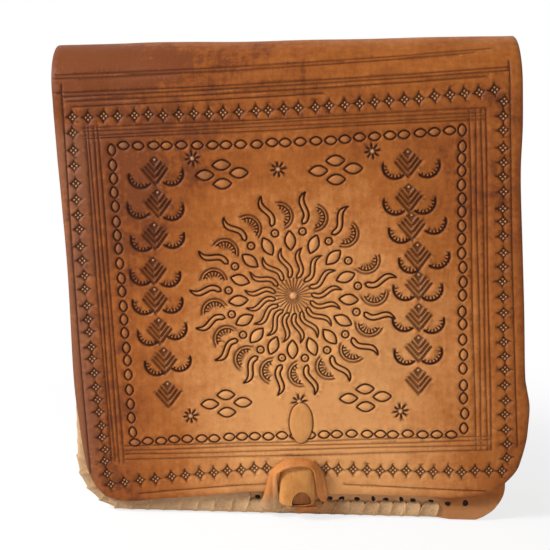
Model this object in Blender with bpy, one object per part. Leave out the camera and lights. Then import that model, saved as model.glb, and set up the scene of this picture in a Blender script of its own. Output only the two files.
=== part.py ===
# Hand-tooled leather flap satchel
# Metres, +Z up, the flap faces -Y. The bag stands on its laced lower edge.
import math
from math import cos, pi, sin, tau

import bmesh
import bpy
from mathutils import Matrix, Vector

# Hide and clearances
LEATHER = 0.0025
GAP = 0.0003

# Body: two panels laced to a U-shaped gusset
PANEL_WIDTH = 0.237
PANEL_CORNER_RADIUS = 0.028
FRONT_PANEL_TOP = 0.226
GUSSET_DEPTH = 0.042
GUSSET_TOP = 0.222
GUSSET_CREASE = 0.008
CREASE_FULL = 0.110
CREASE_MARGIN = 0.0060
CORNER_STEPS = 10

# Lacing thong
LACE_PITCH = 0.0093
LACE_BAND = 0.009
LACE_WRAP = 0.007
LACE_THICKNESS = 0.0016
LACE_VALLEY = 0.0005

# Flap: one sheet that runs over the top and down the front, cut a little askew
BAG_HEIGHT = 0.2625
FLAP_WIDTH = 0.246
FLAP_ASKEW = math.radians(2.9)
FLAP_CENTRE_X = 0.0028
FLAP_CENTRE_Z = 0.1269
FLAP_CORNER_RADIUS = 0.022
FLAP_HEM = ((-0.0990, -0.1150), (-0.0620, -0.1135), (-0.0250, -0.1115), (0.0140, -0.1130),
            (0.0470, -0.1152), (0.0960, -0.1170))
FOLD_STEPS = 6
HEM_STEPS = 3

# Tooling, as (u, v) on the flap from the centre of the sun, u across and v up
TOOL_DEPTH = 0.0007
LINE_DEPTH = 0.0005
LINE_WIDTH = 0.0009
CUT_STANDOFF = 0.0001
STAR_REACH = 0.0037
STAR_WAIST = 0.0015
CHAIN_LENGTH = 0.0065
CHAIN_WIDTH = 0.0040
CORNER_STAR = (-0.1125, 0.1010)
STAR_ROWS = (
    (29, CORNER_STAR, (-0.0010, 0.0997), (0.1105, 0.1010)),
    (26, (-0.1132, 0.0930), (-0.1138, -0.0060), (-0.1096, -0.1045)),
    (25, (0.1135, 0.0925), (0.1122, -0.0040), (0.1108, -0.1010)),
    (11, (-0.1010, -0.1040), (-0.0600, -0.1003), (-0.0195, -0.0973)),
    (14, (0.0129, -0.0980), (0.0580, -0.1012), (0.1060, -0.1040)),
)
CHAIN_ROWS = (
    (23, (-0.0867, 0.0848), (0.0000, 0.0830), (0.0854, 0.0842)),
    (21, (-0.0940, 0.0790), (-0.0942, 0.0030), (-0.0936, -0.0740)),
    (22, (0.0920, 0.0790), (0.0908, 0.0030), (0.0903, -0.0750)),
    (25, (-0.0902, -0.0801), (-0.0020, -0.0783), (0.0860, -0.0807)),
)
FRAME_LINES = (
    (-0.1068, 0.1044, 0.0947, -0.0903),
    (-0.1048, 0.1023, 0.0928, -0.0872),
    (-0.1022, 0.0992, 0.0908, -0.0846),
    (-0.0998, 0.0960, 0.0890, -0.0823),
)
FOLD_LINES = (
    ((-0.1180, 0.1236), (-0.0070, 0.1232), (0.1060, 0.1262)),
    ((-0.1180, 0.1215), (-0.0070, 0.1212), (0.0980, 0.1240)),
    ((-0.1180, 0.1140), (-0.0070, 0.1134), (0.1140, 0.1150)),
    ((-0.1150, 0.1118), (-0.0070, 0.1116), (0.1060, 0.1130)),
    ((-0.1150, 0.1093), (-0.0070, 0.1092), (0.1000, 0.1108)),
)
MARGIN_LINES = (
    ((-0.1185, 0.1030), (-0.1195, 0.0030), (-0.1197, -0.0950)),
    ((0.1172, 0.1030), (0.1170, 0.0030), (0.1185, -0.0870)),
    ((-0.0900, -0.1103), (-0.0520, -0.1078), (-0.0150, -0.1063)),
    ((0.0270, -0.1080), (0.0600, -0.1107), (0.0930, -0.1132)),
)
SUN_COUNT = 16
SUN_CORE = (0.0030, 0.0090)
SUN_INNER_RAY = (0.0105, 0.0245)
SUN_PETAL_RADIUS = 0.0297
SUN_PETAL_SIZE = (0.0108, 0.0052)
SUN_RING_RADIUS = 0.0352
SUN_RING_SIZE = 0.0021
SUN_OUTER_RAY = (0.0385, 0.0555)
SUN_MISSING_RAY = 1
SUN_MOON_RADIUS = 0.0437
SUN_MOON_SIZE = 0.0068
SUN_MOON_ARC = (math.radians(203), math.radians(361))
SUN_SWAY = 0.0014
SUN_PHASE = math.radians(-1.5)
SUN_DRIFT = math.radians(5.2)
SUN_DRIFT_TOWARDS = math.radians(157)
COLUMN_ROWS = (
    (8, (-0.0705, 0.0700), (-0.0757, 0.0080), (-0.0720, -0.0530)),
    (8, (0.0640, 0.0690), (0.0680, 0.0090), (0.0660, -0.0508)),
)
COLUMN_DIAMOND = (0.0074, 0.0077)
COLUMN_MOONS = 7
COLUMN_MOON_OFFSET = (0.0074, -0.0022)
COLUMN_MOON_SIZE = 0.0063
COLUMN_MOON_ARC = (pi * 0.93, pi * 1.73)
MOON_WIDTH = 0.0014
MOON_STEPS = 5
PETAL_GROUPS = ((-0.0349, 0.0670), (0.0257, 0.0665), (-0.0399, -0.0594), (0.0368, -0.0585))
PETAL_OFFSETS = ((-0.0092, 0.0), (0.0, 0.0050), (0.0092, 0.0), (0.0, -0.0050))
PETAL_SIZE = (0.0100, 0.0054)
FLOWERS = ((-0.0502, 0.0762), (-0.0048, 0.0683), (0.0452, 0.0755), (-0.0602, -0.0657),
           (0.0556, -0.0666))
FLOWER_SIZE = 0.0035
FLOWER_PETALS = 8

# Toggle: a rolled strip whose tail passes behind the flap and shows as a tab above
TOGGLE_X = 0.0053
TOGGLE_BOTTOM = 0.0096
TOGGLE_HEIGHT = 0.0214
TOGGLE_WIDTH = 0.0212
TOGGLE_THICKNESS = 0.0095
TOGGLE_NOTCH_WIDTH = 0.0120
TOGGLE_NOTCH_HEIGHT = 0.0066
TOGGLE_NOTCH_DEPTH = 0.0025
STRAP_WIDTH = 0.0060
STRAP_THICKNESS = 0.0013
STRAP_SLIT_CLEARANCE = 0.0005
TAB_WIDTH = 0.0127
TAB_LENGTH = 0.0207
TAB_TOP = 0.0643

# Loop: a strip that arches over the toggle and folds down off it
LOOP_STRIP = 0.0086
LOOP_THICKNESS = 0.0024
LOOP_HALF_WIDTH = 0.0166
LOOP_APEX = 0.0356
LOOP_FOOT = 0.0050
LOOP_STEP_RISE = 0.0050
LOOP_STEPS = 20
TWIST_END = 0.25

# Places that follow from the sizes above
PANEL_FACE = GUSSET_DEPTH / 2 + LEATHER
PANEL_BOTTOM = LACE_THICKNESS + GAP
LACE_FACE = PANEL_FACE + GAP + LACE_THICKNESS
FLAP_FACE = LACE_FACE + GAP + LEATHER
FOLD_RADIUS = (FLAP_FACE + PANEL_FACE) / 2
FOLD_Y = (PANEL_FACE - FLAP_FACE) / 2
FOLD_Z = BAG_HEIGHT - FOLD_RADIUS
FRONT_CREASE = FOLD_Z + FOLD_RADIUS * pi / 4
BACK_CREASE = FOLD_Z + FOLD_RADIUS * pi * 3 / 4
BACK_START = FOLD_Z + FOLD_RADIUS * pi
FRONT_AXIS = Vector((0, FOLD_Y - FOLD_RADIUS * cos(pi / 4), FOLD_Z + FOLD_RADIUS * sin(pi / 4)))
BACK_AXIS = Vector((0, FOLD_Y + FOLD_RADIUS * cos(pi / 4), FRONT_AXIS.z))
LOOP_BACK = LACE_FACE + GAP
LOOP_AXIS = Vector((0, -LOOP_BACK - LOOP_THICKNESS / 2, LOOP_FOOT))
STRAP_BACK = PANEL_FACE + GAP
TOGGLE_BACK = FLAP_FACE + GAP


# Small helpers for points and rows

def turned(point, angle):
    return (point[0] * cos(angle) - point[1] * sin(angle),
            point[0] * sin(angle) + point[1] * cos(angle))


def moved(points, centre, angle=0.0):
    spun = [turned(p, angle) for p in points]
    return [(p[0] + centre[0], p[1] + centre[1]) for p in spun]


def row_point(row, t):
    # A curve through the start, the middle and the end of a row
    start, middle, end = row
    weights = ((1 - t) * (1 - 2 * t), 4 * t * (1 - t), t * (2 * t - 1))
    return tuple(sum(w * p[i] for w, p in zip(weights, (start, middle, end))) for i in (0, 1))


def row_places(count, *row):
    # Even places along a row, each with the row's direction there
    places = []
    for i in range(count):
        t = i / (count - 1)
        ahead = row_point(row, t + 0.01)
        behind = row_point(row, t - 0.01)
        heading = math.atan2(ahead[1] - behind[1], ahead[0] - behind[0])
        places.append((row_point(row, t), heading))
    return places


def flap_to_sheet(point):
    # The tooling's (u, v) turned by the askew cut, as (x, distance up the sheet)
    x, w = turned(point, FLAP_ASKEW)
    return (x + FLAP_CENTRE_X, w + FLAP_CENTRE_Z)


def on_sheet(x, w, height):
    # A place on the leather's outer face, up the front, over the fold and down the back
    if w <= FOLD_Z:
        return Vector((x, -FLAP_FACE - height, w))
    if w >= BACK_START:
        return Vector((x, PANEL_FACE + height, FOLD_Z - (w - BACK_START)))
    angle = (w - FOLD_Z) / FOLD_RADIUS
    reach = FOLD_RADIUS + height
    return Vector((x, FOLD_Y - reach * cos(angle), FOLD_Z + reach * sin(angle)))


# Scene helpers

def clear_scene():
    for item in list(bpy.data.objects):
        bpy.data.objects.remove(item, do_unlink=True)


def make_material(name, color, roughness):
    material = bpy.data.materials.new(name)
    material.use_nodes = True
    shader = material.node_tree.nodes["Principled BSDF"]
    shader.inputs["Base Color"].default_value = (*color, 1.0)
    shader.inputs["Roughness"].default_value = roughness
    shader.inputs["Metallic"].default_value = 0.0
    return material


def make_empty(name, place, parent=None):
    empty = bpy.data.objects.new(name, None)
    bpy.context.scene.collection.objects.link(empty)
    empty.parent = parent
    empty.location = place - world_place(parent)
    return empty


def world_place(item):
    place = Vector((0, 0, 0))
    while item is not None:
        place = place + item.location
        item = item.parent
    return place


def make_piece(name, bm, color, parent, roughness=0.6):
    bmesh.ops.recalc_face_normals(bm, faces=bm.faces[:])
    bm.transform(Matrix.Translation(-world_place(parent)))
    mesh = bpy.data.meshes.new(name)
    bm.to_mesh(mesh)
    bm.free()
    mesh.materials.append(make_material(name, color, roughness))
    piece = bpy.data.objects.new(name, mesh)
    bpy.context.scene.collection.objects.link(piece)
    piece.parent = parent
    return piece


def apply_boolean(piece, cutter_bm, operation, name):
    # The cutter or the added body comes in world places and is kept hidden
    bmesh.ops.recalc_face_normals(cutter_bm, faces=cutter_bm.faces[:])
    cutter_bm.transform(Matrix.Translation(-world_place(piece.parent)))
    mesh = bpy.data.meshes.new(name)
    cutter_bm.to_mesh(mesh)
    cutter_bm.free()
    tool = bpy.data.objects.new(name, mesh)
    bpy.context.scene.collection.objects.link(tool)
    tool.parent = piece.parent
    tool.hide_render = True
    tool.hide_set(True)
    tool.display_type = "WIRE"
    modifier = piece.modifiers.new(name, "BOOLEAN")
    modifier.operation = operation
    modifier.solver = "EXACT"
    modifier.use_self = operation == "DIFFERENCE"
    modifier.object = tool


# Solids

def prism(outline, place, top, bottom):
    # A closed prism between two levels of an outline, placed by a function
    bm = bmesh.new()
    add_prism(bm, outline, place, top, bottom)
    return bm


def add_prism(bm, outline, place, top, bottom):
    upper = [bm.verts.new(place(x, z, top)) for x, z in outline]
    lower = [bm.verts.new(place(x, z, bottom)) for x, z in outline]
    bm.faces.new(upper)
    bm.faces.new(lower[::-1])
    for i, corner in enumerate(upper):
        j = (i + 1) % len(upper)
        bm.faces.new((corner, lower[i], lower[j], upper[j]))


def upright(x, z, y):
    return Vector((x, y, z))


def corner_arc(centre, radius, start, end, steps=CORNER_STEPS):
    angles = [start + (end - start) * i / steps for i in range(steps + 1)]
    return [(centre[0] + radius * cos(a), centre[1] + radius * sin(a)) for a in angles]


def body_outline(top, inset=0.0):
    # Down the left side, round both lower corners and up the right side
    half = PANEL_WIDTH / 2 - inset
    radius = PANEL_CORNER_RADIUS - inset
    floor = PANEL_BOTTOM + inset
    left = corner_arc((-half + radius, floor + radius), radius, pi, pi * 3 / 2)
    right = corner_arc((half - radius, floor + radius), radius, -pi / 2, 0)
    return [(-half, top), *left, *right, (half, top)]


def make_front_panel(parent):
    bm = prism(body_outline(FRONT_PANEL_TOP), upright, -PANEL_FACE, -PANEL_FACE + LEATHER)
    return make_piece("front_panel", bm, (0.50, 0.27, 0.12), parent)


def creased_outline(inset):
    # The body's outline with a point on each side where the crease is at its deepest
    path = body_outline(GUSSET_TOP, inset)
    return [path[0], (path[0][0], CREASE_FULL), *path[1:-1], (path[-1][0], CREASE_FULL), path[-1]]


def crease_depth(z):
    start = PANEL_BOTTOM + PANEL_CORNER_RADIUS
    return GUSSET_CREASE * min(1.0, max(0.0, (z - start) / (CREASE_FULL - start)))


def make_gusset(parent):
    # A band round the sides and the bottom, whose sides fold inwards along their middle
    half_depth = GUSSET_DEPTH / 2 - GAP
    flat = half_depth - CREASE_MARGIN
    profile = [(-half_depth, 0), (-flat, 0), (0, 1), (flat, 0), (half_depth, 0)]
    bm = bmesh.new()
    rings = []
    for (x, z), (inner_x, inner_z) in zip(creased_outline(0.0), creased_outline(LEATHER)):
        depth = -math.copysign(crease_depth(z), x)
        ring = [bm.verts.new((x + depth * fold, y, z)) for y, fold in profile]
        ring += [bm.verts.new((inner_x + depth * fold, y, inner_z)) for y, fold in profile[::-1]]
        rings.append(ring)
    count = len(rings[0])
    for a, b in zip(rings, rings[1:]):
        for i in range(count):
            j = (i + 1) % count
            bm.faces.new((a[i], b[i], b[j], a[j]))
    for ring in (rings[0], rings[-1]):
        for i in range(len(profile) - 1):
            bm.faces.new((ring[i], ring[i + 1], ring[count - 2 - i], ring[count - 1 - i]))
    bmesh.ops.triangulate(bm, faces=bm.faces[:])
    return make_piece("gusset", bm, (0.45, 0.24, 0.11), parent)


def fold_levels(low, high):
    step = FOLD_RADIUS * pi / 4 / FOLD_STEPS
    count = round((high - low) / step)
    return [low + (high - low) * i / count for i in range(1, count)]


def leather_sheet(outline, levels):
    # An outline on the unrolled hide, cut at the fold's levels, then thickened and bent
    bm = bmesh.new()
    bm.faces.new([bm.verts.new((x, w, 0)) for x, w in outline])
    for level in levels:
        bmesh.ops.bisect_plane(bm, geom=bm.verts[:] + bm.edges[:] + bm.faces[:],
                               plane_co=(0, level, 0), plane_no=(0, 1, 0))
    inner = bmesh.ops.extrude_face_region(bm, geom=bm.faces[:])["geom"]
    for vert in inner:
        if isinstance(vert, bmesh.types.BMVert):
            vert.co.z = -LEATHER
    for vert in bm.verts:
        vert.co = on_sheet(vert.co.x, vert.co.y, vert.co.z)
    return bm


def make_back_panel(parent):
    # The back of the body and the lower rear eighth of the fold, in one hide
    mirror = 2 * FOLD_Z + FOLD_RADIUS * pi
    start = BACK_CREASE + GAP / 2
    outline = [(x, mirror - z) for x, z in body_outline(mirror - start)]
    bm = leather_sheet(outline, fold_levels(start, BACK_START) + [BACK_START])
    return make_piece("back_panel", bm, (0.50, 0.27, 0.12), parent)


def flap_side(side, w):
    # Where the flap's straight side stands at a level of the sheet
    rise = w - FLAP_CENTRE_Z
    return FLAP_CENTRE_X + side * FLAP_WIDTH / 2 / cos(FLAP_ASKEW) - rise * math.tan(FLAP_ASKEW)


def make_flap_top(parent):
    low = FRONT_CREASE + GAP / 2
    high = BACK_CREASE - GAP / 2
    half = PANEL_WIDTH / 2
    outline = [(flap_side(-1, low), low), (flap_side(1, low), low), (half, high), (-half, high)]
    bm = leather_sheet(outline, fold_levels(low, high))
    return make_piece("flap_top", bm, (0.42, 0.20, 0.08), parent)


def smooth_edge(points, steps):
    # A Catmull-Rom curve through the points
    path = [points[0]]
    padded = [points[0], *points, points[-1]]
    for a, b, c, d in zip(padded, padded[1:], padded[2:], padded[3:]):
        for i in range(1, steps + 1):
            t = i / steps
            path.append(tuple(0.5 * (2 * b[k] + (c[k] - a[k]) * t
                                     + (2 * a[k] - 5 * b[k] + 4 * c[k] - d[k]) * t * t
                                     + (3 * b[k] - a[k] - 3 * c[k] + d[k]) * t ** 3)
                              for k in (0, 1)))
    return path


def flap_outline():
    half = FLAP_WIDTH / 2
    radius = FLAP_CORNER_RADIUS
    left = corner_arc((-half + radius, FLAP_HEM[0][1] + radius), radius, pi, pi * 3 / 2)
    right = corner_arc((half - radius, FLAP_HEM[-1][1] + radius), radius, -pi / 2, 0)
    lower = left[:-1] + smooth_edge(FLAP_HEM, HEM_STEPS) + right[1:]
    sheet = [flap_to_sheet(p) for p in lower]
    top = FRONT_CREASE - GAP / 2
    return [(flap_side(-1, top), top), *sheet, (flap_side(1, top), top)]


# Tooling cutters, all on the unrolled flap

def tool_place(u, v, height):
    x, w = flap_to_sheet((u, v))
    return on_sheet(x, w, height)


def add_pit(bm, outline, depth=TOOL_DEPTH):
    # A stamp that narrows to a point, with its outline true at the leather's face
    middle = [sum(p[k] for p in outline) / len(outline) for k in (0, 1)]
    grow = (depth + CUT_STANDOFF) / depth
    rim = [(middle[0] + (p[0] - middle[0]) * grow, middle[1] + (p[1] - middle[1]) * grow)
           for p in outline]
    upper = [bm.verts.new(tool_place(u, v, CUT_STANDOFF)) for u, v in rim]
    point = bm.verts.new(tool_place(*middle, -depth))
    bm.faces.new(upper)
    for i, corner in enumerate(upper):
        bm.faces.new((corner, point, upper[(i + 1) % len(upper)]))


def path_sides(path, half_width, closed):
    # Both sides of a path, mitred at its corners
    last = len(path) - 1
    left, right = [], []
    for i, point in enumerate(path):
        before = Vector(path[i - 1]) if closed or i else Vector(point)
        after = Vector(path[(i + 1) % len(path)]) if closed or i < last else Vector(point)
        here = Vector(point)
        runs = [run.normalized() for run in (here - before, after - here) if run.length > 0]
        along = sum(runs, Vector((0, 0))).normalized()
        across = Vector((-along.y, along.x))
        width = half_width / max(0.4, abs(along.dot(runs[0])))
        left.append(here + across * width)
        right.append(here - across * width)
    return left, right


def add_groove(bm, path, width=LINE_WIDTH, depth=LINE_DEPTH, closed=False):
    # A V-shaped line, open with blunt ends or closed into a loop
    grow = (depth + CUT_STANDOFF) / depth
    left, right = path_sides(path, width / 2 * grow, closed)
    a = [bm.verts.new(tool_place(p.x, p.y, CUT_STANDOFF)) for p in left]
    b = [bm.verts.new(tool_place(p.x, p.y, CUT_STANDOFF)) for p in right]
    c = [bm.verts.new(tool_place(p[0], p[1], -depth)) for p in path]
    for i in range(len(path) if closed else len(path) - 1):
        j = (i + 1) % len(path)
        bm.faces.new((a[i], b[i], b[j], a[j]))
        bm.faces.new((a[i], a[j], c[j], c[i]))
        bm.faces.new((b[j], b[i], c[i], c[j]))
    if not closed:
        bm.faces.new((a[0], c[0], b[0]))
        bm.faces.new((a[-1], b[-1], c[-1]))


def star_shape():
    points = []
    for i in range(8):
        reach = STAR_WAIST if i % 2 else STAR_REACH
        points.append((reach * cos(i * pi / 4), reach * sin(i * pi / 4)))
    return points


def leaf_shape(length, width):
    return [(-length / 2, 0), (-length * 0.22, -width * 0.43), (length * 0.22, -width * 0.43),
            (length / 2, 0), (length * 0.22, width * 0.43), (-length * 0.22, width * 0.43)]


def polygon_shape(count, reach):
    return [(reach * cos(tau * i / count), reach * sin(tau * i / count)) for i in range(count)]


def add_moon(bm, centre, size, arc, angle=0.0):
    path = corner_arc(centre, size, arc[0] + angle, arc[1] + angle, MOON_STEPS)
    add_groove(bm, path, MOON_WIDTH, TOOL_DEPTH)


def add_stamped_rows(bm):
    for count, *row in STAR_ROWS:
        for place, heading in row_places(count, *row):
            add_pit(bm, moved(star_shape(), place, heading))
    leaf = leaf_shape(CHAIN_LENGTH, CHAIN_WIDTH)
    for count, *row in CHAIN_ROWS:
        for place, heading in row_places(count, *row):
            if not under_tab(place):
                add_pit(bm, moved(leaf, place, heading))


def under_tab(place):
    x, z = flap_to_sheet(place)
    reach = TAB_WIDTH / 2 + CHAIN_LENGTH / 2
    return abs(x - TOGGLE_X) < reach and z > TAB_TOP - TAB_LENGTH - CHAIN_WIDTH


def add_lines(bm):
    for left, right, top, bottom in FRAME_LINES:
        corners = [(left, bottom), (right, bottom), (right, top), (left, top)]
        add_groove(bm, corners, closed=True)
    for row in FOLD_LINES + MARGIN_LINES:
        add_groove(bm, [row_point(row, i / 8) for i in range(9)])


def polar(radius, angle):
    return (radius * cos(angle), radius * sin(angle))


def ray_path(reach, angle, steps=6):
    # An S-shaped line from the inner to the outer radius
    path = []
    for i in range(steps + 1):
        t = i / steps
        u, v = polar(reach[0] + (reach[1] - reach[0]) * t, angle)
        sway = SUN_SWAY * sin(tau * t)
        path.append((u + sway * sin(angle), v - sway * cos(angle)))
    return path


def sun_angle(steps):
    # The rays were spaced by hand, a little wider on the left
    even = steps * tau / SUN_COUNT
    return even + SUN_PHASE + SUN_DRIFT * cos(even - SUN_DRIFT_TOWARDS)


def add_sun(bm):
    petal = leaf_shape(*SUN_PETAL_SIZE)
    ring = polygon_shape(6, SUN_RING_SIZE)
    for i in range(SUN_COUNT):
        angle = sun_angle(i)
        between = sun_angle(i + 0.5)
        add_pit(bm, moved(petal, polar(SUN_PETAL_RADIUS, angle), angle))
        add_moon(bm, polar(SUN_MOON_RADIUS, angle), SUN_MOON_SIZE, SUN_MOON_ARC, angle)
        add_groove(bm, [polar(r, between) for r in SUN_CORE], LINE_WIDTH, TOOL_DEPTH)
        add_groove(bm, ray_path(SUN_INNER_RAY, between))
        add_pit(bm, moved(ring, polar(SUN_RING_RADIUS, between), between))
        if i != SUN_MISSING_RAY:
            add_groove(bm, ray_path(SUN_OUTER_RAY, between))


def add_columns(bm):
    half_width, half_height = COLUMN_DIAMOND
    diamond = [(-half_width, 0), (0, -half_height), (half_width, 0), (0, half_height)]
    chevron = [(-half_width * 0.55, 0), (0, -half_height * 0.55), (half_width * 0.55, 0)]
    mirror_arc = (pi - COLUMN_MOON_ARC[1], pi - COLUMN_MOON_ARC[0])
    across, along = COLUMN_MOON_OFFSET
    for count, *row in COLUMN_ROWS:
        for i, (place, _) in enumerate(row_places(count, *row)):
            add_groove(bm, moved(diamond, place), closed=True)
            add_groove(bm, moved(chevron, place))
            if i < COLUMN_MOONS:
                level = place[1] + along
                add_moon(bm, (place[0] - across, level), COLUMN_MOON_SIZE, COLUMN_MOON_ARC)
                add_moon(bm, (place[0] + across, level), COLUMN_MOON_SIZE, mirror_arc)


def add_scattered(bm):
    petal = leaf_shape(*PETAL_SIZE)
    for group in PETAL_GROUPS:
        for offset in PETAL_OFFSETS:
            add_pit(bm, moved(petal, (group[0] + offset[0], group[1] + offset[1])))
    star = []
    for i in range(FLOWER_PETALS * 2):
        reach = FLOWER_SIZE if i % 2 == 0 else FLOWER_SIZE * 0.6
        star.append(polar(reach, i * pi / FLOWER_PETALS))
    for flower in FLOWERS:
        add_pit(bm, moved(star, flower))


def strap_levels():
    # The two slits in the flap that the toggle's tail passes through
    upper = TAB_TOP - TAB_LENGTH + 0.0030
    lower = TOGGLE_BOTTOM + TOGGLE_HEIGHT - 0.0030
    return upper, lower


def add_slits(bm):
    half_width = STRAP_WIDTH / 2 + STRAP_SLIT_CLEARANCE
    half_height = STRAP_THICKNESS / 2 + STRAP_SLIT_CLEARANCE
    for level in strap_levels():
        outline = [(TOGGLE_X - half_width, level - half_height),
                   (TOGGLE_X + half_width, level - half_height),
                   (TOGGLE_X + half_width, level + half_height),
                   (TOGGLE_X - half_width, level + half_height)]
        add_prism(bm, outline, upright, -FLAP_FACE - LEATHER, -FLAP_FACE + 2 * LEATHER)


def make_flap_front(parent):
    levels = [FOLD_Z] + fold_levels(FOLD_Z, FRONT_CREASE - GAP / 2)
    bm = leather_sheet(flap_outline(), levels)
    piece = make_piece("flap_front", bm, (0.55, 0.30, 0.13), parent)
    cutter = bmesh.new()
    add_stamped_rows(cutter)
    add_lines(cutter)
    add_sun(cutter)
    add_columns(cutter)
    add_scattered(cutter)
    add_slits(cutter)
    apply_boolean(piece, cutter, "DIFFERENCE", "tooling_cutter")
    return piece


# Lacing

def lace_stations():
    # Points along the seam with their outward directions, two for each stitch
    path = body_outline(GUSSET_TOP)
    runs = [(Vector(b) - Vector(a)).length for a, b in zip(path, path[1:])]
    stitches = round(sum(runs) / LACE_PITCH)
    stations = []
    for i in range(stitches * 2 + 1):
        left = sum(runs) * i / (stitches * 2)
        for a, b, run in zip(path, path[1:], runs):
            if left <= run or b == path[-1]:
                along = (Vector(b) - Vector(a)).normalized()
                place = Vector(a) + along * min(left, run)
                stations.append((place, seam_outward(place)))
                break
            left -= run
    return stations


def seam_outward(place):
    centre_x = PANEL_WIDTH / 2 - PANEL_CORNER_RADIUS
    centre_z = PANEL_BOTTOM + PANEL_CORNER_RADIUS
    toward = Vector((place.x - max(-centre_x, min(centre_x, place.x)),
                     min(0.0, place.y - centre_z)))
    return toward.normalized()


def lace_profile(thickness):
    # Round the seam: out from the seam line, out from the panel's face. The bag stands on
    # the outer side, which is worn flat.
    edge = GAP + LACE_THICKNESS
    return [(-LACE_BAND, GAP), (-LACE_BAND * 0.5, GAP + thickness),
            (edge - LACE_THICKNESS * 0.3, GAP + thickness * 0.7), (edge, -LACE_WRAP * 0.15),
            (edge, -LACE_WRAP), (GAP, -LACE_WRAP), (GAP, GAP)]


def make_lacing(name, side, parent):
    bm = bmesh.new()
    rings = []
    for i, (place, outward) in enumerate(lace_stations()):
        profile = lace_profile(LACE_THICKNESS if i % 2 else LACE_VALLEY)
        ring = []
        for out, proud in profile:
            spot = place + outward * out
            ring.append(bm.verts.new((spot.x, side * (PANEL_FACE + proud), spot.y)))
        rings.append(ring)
    count = len(rings[0])
    for a, b in zip(rings, rings[1:]):
        for i in range(count):
            j = (i + 1) % count
            bm.faces.new((a[i], a[j], b[j], b[i]))
    for ring in (rings[0], rings[-1]):
        bm.faces.new((ring[0], ring[1], ring[2], ring[6]))
        bm.faces.new(ring[2:])
    bmesh.ops.triangulate(bm, faces=bm.faces[:])
    return make_piece(name, bm, (0.60, 0.40, 0.22), parent)


# Closure

def toggle_section(level):
    # Half width and thickness of the roll at a share of its height, 0 at its foot
    shoulder = math.sqrt(max(0.0, 1 - max(0.0, (level - 0.35) / 0.70) ** 2))
    width = TOGGLE_WIDTH / 2 * (0.55 + 0.45 * shoulder)
    thickness = TOGGLE_THICKNESS * (0.62 + 0.38 * sin(pi * min(1.0, level + 0.12))) * shoulder
    return width, max(thickness, TOGGLE_THICKNESS * 0.3)


def make_roll():
    bm = bmesh.new()
    rings = []
    levels = 7
    around = 10
    for i in range(levels + 1):
        level = i / levels
        width, thickness = toggle_section(level)
        ring = []
        for k in range(around + 1):
            angle = pi * k / around
            x = TOGGLE_X - width * math.copysign(abs(cos(angle)) ** 0.6, cos(angle))
            y = -TOGGLE_BACK - thickness * sin(angle) ** 0.6
            ring.append(bm.verts.new((x, y, TOGGLE_BOTTOM + TOGGLE_HEIGHT * level)))
        rings.append(ring)
    for a, b in zip(rings, rings[1:]):
        for k in range(around):
            bm.faces.new((a[k], a[k + 1], b[k + 1], b[k]))
        bm.faces.new((a[-1], a[0], b[0], b[-1]))
    bm.faces.new(rings[0])
    bm.faces.new(rings[-1][::-1])
    return bm


def add_strap(bm):
    # The tail: out of the roll, through the lower slit, up behind the flap and out above
    upper, lower = strap_levels()
    half = STRAP_THICKNESS / 2
    front = -TOGGLE_BACK - STRAP_THICKNESS
    deep = -TOGGLE_BACK - TOGGLE_THICKNESS * 0.35
    back = -STRAP_BACK
    inner = back - STRAP_THICKNESS
    profile = [(deep, lower - half), (back, lower - half), (back, upper + half),
               (front, upper + half), (front, upper - half), (inner, upper - half),
               (inner, lower + half), (deep, lower + half)]
    sides = []
    for x in (TOGGLE_X - STRAP_WIDTH / 2, TOGGLE_X + STRAP_WIDTH / 2):
        sides.append([bm.verts.new((x, y, z)) for y, z in profile])
    bm.faces.new(sides[0])
    bm.faces.new(sides[1][::-1])
    for i in range(len(profile)):
        j = (i + 1) % len(profile)
        bm.faces.new((sides[0][i], sides[1][i], sides[1][j], sides[0][j]))


def tab_outline():
    # Round above, drawn to a point below
    half = TAB_WIDTH / 2
    shoulder = TAB_TOP - half
    arc = corner_arc((TOGGLE_X, shoulder), half, 0, pi, 8)
    foot = TAB_TOP - TAB_LENGTH
    side = [(TOGGLE_X - half * 0.93, foot + TAB_LENGTH * 0.38),
            (TOGGLE_X - half * 0.45, foot + TAB_LENGTH * 0.12)]
    mirrored = [(2 * TOGGLE_X - x, z) for x, z in reversed(side)]
    return arc + side + [(TOGGLE_X, foot)] + mirrored


def make_toggle(parent):
    piece = make_piece("toggle", make_roll(), (0.52, 0.28, 0.12), parent)
    strap = bmesh.new()
    add_strap(strap)
    apply_boolean(piece, strap, "UNION", "toggle_tail")
    tab = prism(tab_outline(), upright, -TOGGLE_BACK - STRAP_THICKNESS, -TOGGLE_BACK)
    apply_boolean(piece, tab, "UNION", "toggle_tab")
    half = TOGGLE_NOTCH_WIDTH / 2
    foot = TOGGLE_BOTTOM - TOGGLE_NOTCH_HEIGHT
    arch = corner_arc((TOGGLE_X, TOGGLE_BOTTOM), 1.0, 0, pi, 8)
    arch = [(TOGGLE_X + (x - TOGGLE_X) * half,
             TOGGLE_BOTTOM + (z - TOGGLE_BOTTOM) * TOGGLE_NOTCH_HEIGHT) for x, z in arch]
    notch = prism(arch + [(TOGGLE_X - half, foot), (TOGGLE_X + half, foot)], upright,
                  -TOGGLE_BACK - TOGGLE_THICKNESS * 2,
                  -TOGGLE_BACK - TOGGLE_THICKNESS + TOGGLE_NOTCH_DEPTH)
    apply_boolean(piece, notch, "DIFFERENCE", "toggle_notch")
    return piece


def loop_centre(t):
    # An arch from the left foot over the toggle to the right foot
    angle = pi * (1 - t)
    half = LOOP_HALF_WIDTH - LOOP_THICKNESS / 2
    rise = LOOP_APEX - LOOP_FOOT - LOOP_THICKNESS / 2
    return Vector((TOGGLE_X + half * math.copysign(abs(cos(angle)) ** 0.75, cos(angle)),
                   LOOP_FOOT + rise * sin(angle) ** 0.75))


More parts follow.
